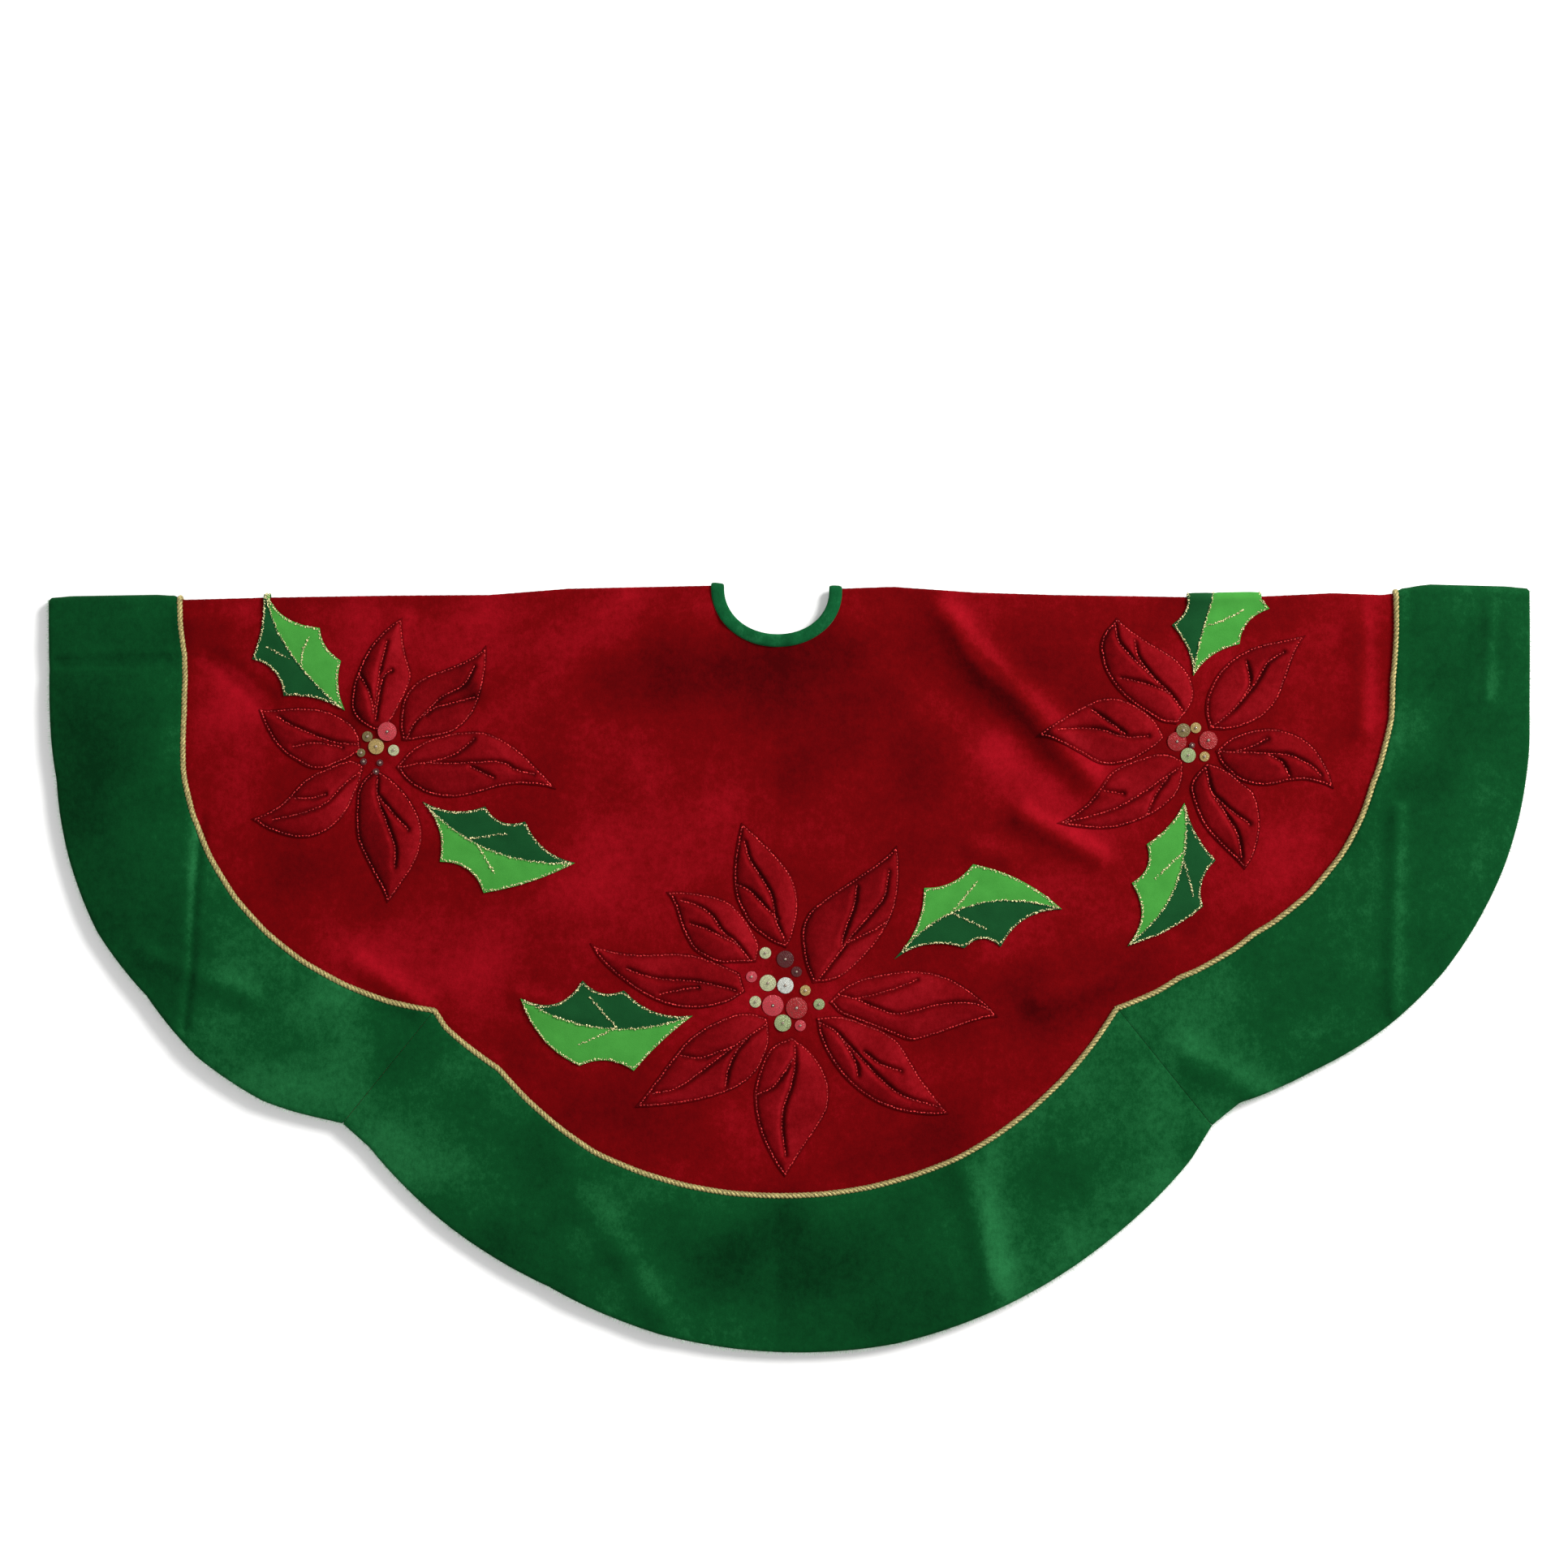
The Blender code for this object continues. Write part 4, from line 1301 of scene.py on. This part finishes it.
def sequin_tree():
    """Dished sequins with a hole, each in the size of its point."""
    tree = Repeater("sequins", {"Tilt": 0.08, "Flip": 0.0})
    path = tree.node("GeometryNodeCurvePrimitiveCircle", None, {"Resolution": 24, "Radius": 0.58})
    section = {"Width": 0.84, "Height": 0.07}
    section = tree.node("GeometryNodeCurvePrimitiveQuadrilateral", None, section)
    section = tree.node("GeometryNodeTransform", None, {"Geometry": section, "Rotation": (0.0, 0.0, 0.09)})
    shape = {"Curve": path, "Profile Curve": section}
    shape = tree.node("GeometryNodeCurveToMesh", None, shape)
    tilt = tree.given("Tilt")
    turn = tree.triple(
        tilt * tree.scattered(-1.0, 1.0, 2) + tree.given("Flip"),
        tilt * tree.scattered(-1.0, 1.0, 3),
        tree.scattered(0.0, 6.2, 4),
    )
    size = tree.named("radius", "FLOAT")
    scale = tree.triple(size, size, size)
    return tree.end(tree.placed(tree.given("Lines"), shape, turn, scale), FINISHES["sequins"])


def bead_tree():
    """A seed bead at each point."""
    tree = Repeater("beads", {"Radius": 0.0010})
    shape = tree.node("GeometryNodeMeshUVSphere", None, {"Segments": 12, "Rings": 8, "Radius": 1.0})
    size = tree.given("Radius") * tree.scattered(0.85, 1.15, 5)
    scale = tree.triple(size, size, size * 0.75)
    turn = tree.scattered((-0.3, -0.3, 0.0), (0.3, 0.3, 6.2), 6)
    return tree.end(tree.placed(tree.given("Lines"), shape, turn, scale), FINISHES["bead"])


CORDS, STITCHES, GLITTER = cord_tree(), stitch_tree(), glitter_tree()
FUZZ, DISHES, BEADS = fuzz_tree(), sequin_tree(), bead_tree()


# --- red cloth, lining and border ------------------------------------------------------------------

FOLD_ROWS = np.linspace(-FOLD_RUN, FOLD_RUN, FOLD_STEPS + 1)


def carried_on(loop, outward, neckward):
    """An outline carried outward at its far edge and inward round the neck."""
    reach = np.hypot(loop[:, 0], loop[:, 1])
    step = np.where(reach > FAR_REACH, outward, np.where(reach < NEAR_REACH, -neckward, 0.0))
    return loop * (1 + step / reach)[:, None]


def add_flat_cloth(prefix, stem, cut, outward, neckward, look, pile_and_shade_patches):
    """A layer of flat cloth: the front half, and the two back quarters that run round the fold."""
    for half in ("front", "left", "right"):
        front = half == "front"
        node = stem + (half if front else "back_" + half)
        low, high = heights(node)
        loop = carried_on(outline(node), outward, neckward)
        loop = rounded(with_run(loop, FOLD_ROWS[cut]), PANEL_STEP)
        bent = FOLD_ROWS[:cut] if front else FOLD_ROWS[cut + 1 :]
        cloth = Cloth(loop, PANEL_STEP if front else BACK_STEP, rings=(PANEL_RING,), rows=bent)
        piece = sewn(prefix + half, [(cloth, low, high)], look, pile_and_shade_patches, strips=PANEL_STRIPS)
        settle(piece, [node], None if front else half)
        declare_sheet(cloth)


# The red cloth runs on under the border and the binding. The layers are parted at different rows.
add_flat_cloth("red_cloth_", "red_panel_", 4, 0.0022, 0.0012, FINISHES["red"], RED_PILE_AND_SHADE_PATCHES)
add_flat_cloth("lining_cloth_", "lining_", 2, 0.0, 0.0, FINISHES["lining"], ())


def edge_part(loop, outer):
    """The stretch of a border's outline that lies on the rim, or the one beside the cord."""
    away = np.maximum(np.abs(loop[:, 1]) - FOLD_RUN, 0)
    angle = np.degrees(np.arctan2(np.abs(loop[:, 0]), np.maximum(away, 1e-9)))
    reach = np.hypot(loop[:, 0], away)
    if outer:
        there = reach > np.interp(angle, *RIM_EDGE) - 0.0025
    else:
        there = reach < np.interp(angle, *CORD_EDGE) + 0.0015
    first = next(k for k in range(len(loop)) if there[k] and not there[k - 1])
    order = [(first + k) % len(loop) for k in range(len(loop))]
    return loop[[k for k in order if there[k]]]


def add_border(name, nodes, side=None, body="front"):
    """A padded stretch of border, rounded at its edges, with the fuzz of its cut rim."""
    parts = [outline(node) for node in nodes]
    loop = over_fold(*parts) if len(parts) == 2 else with_run(parts[0])
    reach = np.hypot(loop[:, 0], np.maximum(np.abs(loop[:, 1]) - FOLD_RUN, 0))
    inner = np.where(reach < BORDER_MIDDLE, BORDER_UNDER_CORD, 0.0)
    loop = loop * (1 - inner / reach)[:, None]
    loop = rounded(loop, BORDER_STEP)
    rows = FOLD_ROWS if side else ()
    cloth = Cloth(loop, BORDER_STEP, rings=(0.0007, 0.0018, 0.0038), rows=rows)
    low, high = heights(nodes[0])
    bulge = BORDER_BULGE * smooth(0.004, 0.02, cloth.from_edge) * (cloth.points[:, 1] < 0)
    rim, beside_cord = edge_part(cloth.loop, True), edge_part(cloth.loop, False)
    free = np.minimum(nearest_on_path(cloth.points, rim), nearest_on_path(cloth.points, beside_cord))
    at_seams = np.maximum(pillow(cloth.from_edge, BORDER_SEAM_ROUND), SEAM_LEAST)
    share = np.minimum(pillow(free, BORDER_ROUND), at_seams)
    half = (high - low) / 2 * np.maximum(share, 0.25)
    piece = sewn(name, [(cloth, (low + high) / 2 - half, (low + high) / 2 + half + bulge)],
                 FINISHES["green"], GREEN_PILE_AND_SHADE_PATCHES, strips=1.0)
    settle(piece, nodes, side, body)
    at = laid(rim, np.full(len(rim), (low + high) / 2))
    out = laid(rim * 1.002, np.full(len(rim), (low + high) / 2)) - at
    out /= np.linalg.norm(out, axis=1)[:, None]
    fuzz = FUZZ.made(name + "_fuzz", [at], {"out": ("FLOAT_VECTOR", out)})
    for vertex in fuzz.data.vertices:
        vertex.co.z = max(vertex.co.z, 0.0001)
    settle(fuzz, [], side, body)


add_border("border_cloth_front", ["border_front"])
add_border("border_cloth_left", ["border_left_front", "border_left_back"], "left")
add_border("border_cloth_right", ["border_right_front", "border_right_back"], "right")
add_border("border_cloth_back_left", ["border_back_left"], body="back_left")
add_border("border_cloth_back_right", ["border_back_right"], body="back_right")


# --- cord and binding ------------------------------------------------------------------------------


def around(side, start, end, radius, step):
    """Spread points along a line round the neck's middle, from the front by way of one side."""

    def arc(first, last, run):
        count = max(2, round(math.radians(last - first) * radius(60.0) / step))
        angles = np.linspace(first, last, count)
        reach = radius(np.minimum(angles, 180 - angles))
        turn = np.radians(angles)
        return np.column_stack((reach * np.sin(turn), -reach * np.cos(turn) + run))

    parts = [arc(start, min(end, 90), -FOLD_RUN)]
    if end > 90:
        rows = FOLD_ROWS[1:-1]
        parts += [np.column_stack((np.full(len(rows), radius(90.0)), rows)), arc(90, end, FOLD_RUN)]
    points = np.vstack(parts)
    points[:, 0] *= -1 if side == "left" else 1
    return points


def add_cord():
    """The twisted cord, one length in front and one on each back quarter that runs over the fold."""
    low, high = heights("gold_cord_front")
    left, right = (around(side, 0, CUSP, cord_line, CORD_STEP) for side in ("left", "right"))
    lines = {"front": np.vstack([left[::-1], right[1:]])}
    for side in ("left", "right"):
        lines[side] = around(side, CUSP, 180 - SLIT_ANGLE, cord_line, CORD_STEP)
    for half, line in lines.items():
        up = (low + high) / 2 + np.where(line[:, 1] < 0, CORD_RAISED, 0.0)
        piece = CORDS.made("gold_cord_" + half + "_twist", [laid(line, up)])
        if half == "front":
            settle(piece, ["gold_cord_front"])
        else:
            settle(piece, ["gold_cord_back_" + half], half)


add_cord()


def squared(value):
    """A sine or cosine pushed outward, for a section between round and square."""
    return math.copysign(abs(value) ** 0.8, value)


def add_binding(side, start, end):
    """The rolled binding of the neck on one side, with a flat edge on the red cloth."""
    node = "neck_binding_back_" + side
    low, high = heights(node)
    middle_height = (low + high) / 2
    rings = []
    for angle in np.linspace(0, 2 * math.pi, BINDING_SIDES, endpoint=False):
        reach = NECK_RADIUS + BINDING_WIDTH / 2 * (1 + squared(math.cos(angle)))
        up = middle_height + (high - low) / 2 * squared(math.sin(angle))
        line = around(side, start, end, lambda _, reach=reach: reach, BINDING_STEP)
        puff = BINDING_PUFF * (1 + ripple(line, 0.02, 31)) if up > middle_height else 0.0
        rings.append(laid(line, up + puff * (line[:, 1] < 0)))
    count = min(len(ring) for ring in rings)
    points = np.vstack([resampled(ring, count) for ring in rings])
    starts = tuple(k * count for k in range(BINDING_SIDES))
    faces = []
    for here, there in zip(starts, starts[1:] + starts[:1]):
        faces += [(here + j, here + j + 1, there + j + 1, there + j) for j in range(count - 1)]
    faces += [starts, tuple(k + count - 1 for k in starts[::-1])]
    if side == "right":
        faces = [face[::-1] for face in faces]
    piece = new_object("neck_roll_" + side, points, faces, FINISHES["binding"])
    add_values(piece, "nap", 0.1 * ripple(points, 0.02, 9))
    settle(piece, [node, "neck_binding_front"] if side == "left" else [node], side)


def resampled(line, count):
    """The line with that many points."""
    places = np.linspace(0, len(line) - 1, count)
    return np.column_stack([np.interp(places, np.arange(len(line)), line[:, k]) for k in range(3)])


add_binding("left", BINDING_JOIN, 180 - BINDING_SLIT_ANGLE)
add_binding("right", -BINDING_JOIN, 180 - BINDING_SLIT_ANGLE)


# --- flowers ---------------------------------------------------------------------------------------


def curved(points, step):
    """A smooth open line through the points."""
    points = np.asarray(points, float)
    ends = np.vstack([2 * points[0] - points[1], points, 2 * points[-1] - points[-2]])
    made = []
    for a, b, c, d in zip(ends, ends[1:], ends[2:], ends[3:]):
        count = max(1, round(np.linalg.norm(c - b) / step))
        t = (np.arange(count) / count)[:, None]
        bend = (2 * a - 5 * b + 4 * c - d) * t**2 + (3 * b - a - 3 * c + d) * t**3
        made.append(b + ((c - a) * t + bend) / 2)
    return np.vstack(made + [points[-1:]])


def from_line(start, end, shares):
    """Points given as shares along the way from start to end and to the left of it."""
    along = end - start
    left = np.array((-along[1], along[0]))
    return np.array([start + share * along + aside * left for share, aside in shares])


def veined(start, end, vein, step):
    """A vein of the tables, which are in hundredths, as a smooth line."""
    return curved(from_line(start, end, np.array(vein) / 100), step)


def inset(loop, depth):
    """A closed line that runs inside an outline."""
    line = loop + inward(loop) * depth
    line = line[(edge_distance(line, loop) > 0.9 * depth) & inside(line, loop)]
    return np.vstack([line, line[:1]])


class Petal:
    """One padded petal: its outline, its quilted veins and how high it stands."""

    def __init__(self, loop, centre, veins, low, swell, arms=1):
        self.loop = rounded(loop, PETAL_STEP)
        self.centre, self.arms = centre, arms
        tip = self.loop[np.argmax(np.hypot(*(self.loop - centre).T))] - centre
        tips = []
        for turn in np.arange(arms) * 2 * np.pi / arms:
            cosine, sine = math.cos(turn), math.sin(turn)
            tips.append(centre + (tip[0] * cosine - tip[1] * sine, tip[0] * sine + tip[1] * cosine))
        lines = [veined(centre, end, vein, PETAL_STEP) for end in tips for vein in veins]
        kept = [
            line[inside(line, self.loop) & (edge_distance(line, self.loop) > VEIN_FROM_EDGE)] for line in lines
        ]
        self.veins = [line for line in kept if len(line) > 3]
        self.low = low
        self.swell = swell

    def top(self, points):
        edge = edge_distance(points, self.loop)
        vein = np.min([nearest_on_path(points, line) for line in self.veins], axis=0)
        puff = (1 - np.exp(-edge / PETAL_SLOPE)) * (1 - VEIN_DEPTH * np.exp(-((vein / VEIN_WIDTH) ** 2)))
        if self.arms > 1:
            puff = puff * smooth(*EYE_REACH, np.hypot(*(points - self.centre).T))
        stitched = 1 - STITCH_DEPTH * np.exp(-(((edge - STITCH_INSET) / STITCH_WIDTH) ** 2))
        return self.low + (PETAL_EDGE + self.swell * puff) * stitched

    def shade(self, points):
        """Painted shade: darker in the hollows along the stitching and the veins, and where the petal slopes
        to the left, away from the light; lighter where it slopes to the right.
        """
        aside = np.array((0.0008, 0.0))
        slope = (self.top(points + aside) - self.top(points - aside)) / (2 * aside[0])
        edge = edge_distance(points, self.loop)
        vein = np.min([nearest_on_path(points, line) for line in self.veins], axis=0)
        hollow_shade = np.exp(-((edge / 0.003) ** 2)) + np.exp(-((vein / 0.0024) ** 2))
        return -0.32 * np.minimum(hollow_shade, 1) - 0.45 * np.clip(slope, -0.6, 0.9)

    def cloth(self, step):
        return Cloth(self.loop, step, rings=(0.0008, STITCH_INSET, 0.0028), lines=self.veins)

    def seams(self):
        return [inset(self.loop, STITCH_INSET)] + self.veins


def add_front_flower(place):
    """The petals, stitching and sequins of one of the front flowers."""
    centre = middle("sequins_" + place)
    centre = centre - (0, FOLD_RUN)
    names = sorted(name for name in VEINS if name.startswith("petal_" + place + "_"))
    petals, seams = [], []
    for name in names:
        low = heights("red_panel_front")[1] + PETAL_GAP
        petal = Petal(outline(name) - (0, FOLD_RUN), centre, VEINS[name], low, PETAL_SWELL)
        petals.append(petal)
        cloth = petal.cloth(PETAL_STEP)
        layer = (cloth, low, petal.top(cloth.points), petal.shade(cloth.points))
        piece = sewn(name + "_quilted", [layer], FINISHES["petal"], PETAL_RUBS, seed=len(name))
        settle(piece, [name])
        seams += [laid(line, petal.top(line) + STITCH_RAISED) for line in petal.seams() if len(line) > 1]
    settle(STITCHES.made("stitches_" + place, seams), [])
    rows = sorted(SEQUINS["sequins_" + place], key=lambda row: -row[2])
    points, radii = sequin_spots(centre, rows)
    up = stacked(points, radii, petals, heights("sequins_" + place)[0]) + SEQUIN_LIFT
    add_sequins("sequins_" + place, rows, centre, up, BEAD_LIFT)


def stacked(points, radii, petals, base):
    """Heights of sequins that lie on the petals and partly on each other."""
    ring = np.radians(np.arange(0, 360, 45))
    found = []
    for k, (point, radius) in enumerate(zip(points, radii)):
        spots = np.vstack([[point], point + 0.8 * radius * np.column_stack((np.cos(ring), np.sin(ring)))])
        height = base
        for petal in petals:
            within = inside(spots, petal.loop)
            if within.any():
                height = max(height, float(np.mean(petal.top(spots)[within])))
        for j in range(k):
            if np.linalg.norm(points[j] - point) < radii[j] + radius:
                height = max(height, found[j] + 0.0007)
        found.append(height)
    return np.array(found)


def sequin_spots(centre, rows):
    """Where a flower's sequins lie, and their radii."""
    rows = np.array([row[:3] for row in rows]) * MM
    return centre + rows[:, :2], rows[:, 2]


def add_sequins(node, rows, centre, up, bead_lift, body="front", **sizes):
    """A flower's sequins at those heights, each held by a bead."""
    points, radii = sequin_spots(centre, rows)
    tints = [(*SEQUIN_COLOURS[row[3]], 1.0) for row in rows]
    values = {"radius": ("FLOAT", radii), "tint": ("FLOAT_COLOR", tints)}
    dishes = DISHES.made(node + "_dishes", [[p] for p in laid(points, up)], values, **sizes)
    settle(dishes, [node], body=body)
    beads = BEADS.made(node + "_beads", [[p] for p in laid(points, up + bead_lift)])
    settle(beads, [], body=body)


for place in ("centre", "left", "right"):
    add_front_flower(place)


def add_back_flower(side):
    """The flower of a back quarter. It lies face down, so it is flatter."""
    body, node = BODIES[side], "petals_back_" + side
    centre = middle("sequins_back_" + side) + (0, FOLD_RUN)
    low = heights("red_panel_back_" + side)[1] + PETAL_GAP
    layers, seams = [], []
    for loop in outlines(node):
        petal = Petal(loop + (0, FOLD_RUN), centre, BACK_VEINS, low, BACK_PETAL_SWELL, arms=6)
        cloth = petal.cloth(BACK_PETAL_STEP)
        layers.append((cloth, low, petal.top(cloth.points), petal.shade(cloth.points)))
        seams += [laid(line, petal.top(line)) for line in petal.seams() if len(line) > 1]
    piece = sewn(node + "_quilted", layers, FINISHES["petal"], PETAL_RUBS)
    settle(piece, [node], body=body)
    settle(STITCHES.made("stitches_back_" + side, seams), [], body=body)
    up = low + PETAL_EDGE + np.array(BACK_SEQUIN_LIFTS)
    add_sequins(
        "sequins_back_" + side, BACK_SEQUINS, centre, up, BACK_BEAD_LIFT, body, Tilt=0.0, Flip=math.pi
    )


for side in ("left", "right"):
    add_back_flower(side)


# --- holly leaves ----------------------------------------------------------------------------------


def stem_and_tip(loop):
    """The two ends of a leaf, the one nearest a flower first."""
    apart = np.hypot(*(loop[:, None, :] - loop[None, :, :]).transpose(2, 0, 1))
    a, b = np.unravel_index(np.argmax(apart), apart.shape)
    eyes = [middle(node) for node in frame["nodes"] if node.startswith("sequins_")]
    near = [min(np.linalg.norm(eye - loop[k]) for eye in eyes) for k in (a, b)]
    return (loop[a], loop[b]) if near[0] < near[1] else (loop[b], loop[a])


def thicker_at_fold(points):
    return LEAF_AT_FOLD * np.exp(-((points[:, 1] / 0.007) ** 2))


def add_leaf(name, nodes, side=None, body="front"):
    bow, light_side, veins = LEAVES[name]
    parts = [outline(node) for node in nodes]
    loop = over_fold(*parts) if len(parts) == 2 else with_run(parts[0])
    loop = rounded(loop, LEAF_STEP)
    stem, tip = stem_and_tip(loop)
    bow = bow / 100
    midrib = from_line(stem, tip, [(t, bow * 4 * t * (1 - t)) for t in np.linspace(0.02, 0.98, 40)])
    midrib = midrib[inside(midrib, loop)]
    side_veins = [veined(stem, tip, vein, LEAF_STEP) for vein in veins]
    rows = FOLD_ROWS if side else ()
    cloth = Cloth(loop, LEAF_STEP, rings=(0.0012,), rows=rows, lines=[midrib])
    low = heights(nodes[0])[0] - 0.0001
    over = LEAF_THICK + LEAF_SWELL * (1 - np.exp(-cloth.from_edge / 0.004))
    over -= 0.0005 * np.exp(-((nearest_on_path(cloth.points, midrib) / 0.002) ** 2))
    over += thicker_at_fold(cloth.points)
    piece = sewn(name + "_velvet", [(cloth, low, low + over)], FINISHES["leaf"])
    along = tip - stem
    length = along @ along
    corners = cloth.points[np.array([list(face) for face in cloth.faces])].mean(axis=1) - stem
    t = np.clip(corners @ along / length, 0, 1)
    aside = (corners[:, 1] * along[0] - corners[:, 0] * along[1]) / length
    light = ((aside > bow * 4 * t * (1 - t)) == (light_side > 0)).astype(float)
    faces = len(piece.data.polygons)
    shades = np.zeros(faces)
    shades[: len(light)] = light
    shades[len(light) : 2 * len(light)] = light
    attribute = piece.data.attributes.new("light_side", "FLOAT", "FACE")
    attribute.data.foreach_set("value", shades.astype(np.float32))
    settle(piece, nodes, side, body)
    declare_sheet(cloth)
    lines = []
    for line in [inset(loop, 0.0010), midrib] + side_veins:
        raised = low + LEAF_THICK + LEAF_SWELL * (1 - np.exp(-edge_distance(line, loop) / 0.004)) + 0.0002
        lines.append(laid(line, raised + thicker_at_fold(line)))
    settle(GLITTER.made(name + "_glitter", lines), [], side, body)


for name in ("holly_1", "holly_2", "holly_3", "holly_4"):
    add_leaf(name, [name])
add_leaf("holly_5", ["holly_5_front", "holly_5_back"], "left")
add_leaf("holly_6", ["holly_6_front", "holly_6_back"], "right")
for name in ("holly_7", "holly_8"):
    add_leaf(name, [name], body="back_left")
for name in ("holly_9", "holly_10"):
    add_leaf(name, [name], body="back_right")

for node, look in (("hook_strip", "hook"), ("loop_strip", "loop")):
    frame["nodes"][node].data.materials.clear()
    frame["nodes"][node].data.materials.append(FINISHES[look])


# --- floor, light and camera -----------------------------------------------------------------------


def add_floor():
    mesh = bpy.data.meshes.new("floor")
    spots = ((-1, -1), (1, -1), (1, 1), (-1, 1))
    corners = [(FLOOR_REACH * x, FLOOR_REACH * y, FLOOR_LOW) for x, y in spots]
    mesh.from_pydata(corners, [], [(0, 1, 2, 3)])
    finish = Finish("pale_floor")
    grain = finish.cloudy(40.0, 3.0)
    inputs = {
        "Base Color": finish.mixed(grain, (0.92, 0.92, 0.92), (0.95, 0.95, 0.95)),
        "Roughness": 0.9,
        "Specular IOR Level": 0.1,
    }
    mesh.materials.append(finish.done(**inputs))
    return linked("floor", mesh)


def add_light(name, at, size, power, colour):
    """A round soft light that shines at the skirt."""
    data = bpy.data.lights.new(name, "AREA")
    data.shape = "DISK"
    data.size = size
    data.energy = power
    data.color = colour
    lamp = linked(name, data)
    lamp.location = at
    lamp.rotation_euler = (-Vector(at)).to_track_quat("-Z", "Y").to_euler()
    return lamp


def set_stage():
    scene = bpy.context.scene
    lamps = [add_light(*row) for row in LAMPS]
    add_floor()
    world = bpy.data.worlds.new("studio")
    world.use_nodes = True
    background = world.node_tree.nodes["Background"].inputs
    background["Color"].default_value = (1.0, 1.0, 1.0, 1.0)
    background["Strength"].default_value = SKY
    scene.world = world
    scene.view_settings.view_transform = "Standard"
    data = bpy.data.cameras.new("camera")
    data.lens = LENS
    data.sensor_width = SENSOR
    camera = linked("camera", data)
    camera.location = CAMERA_AT
    scene.camera = camera


set_stage()
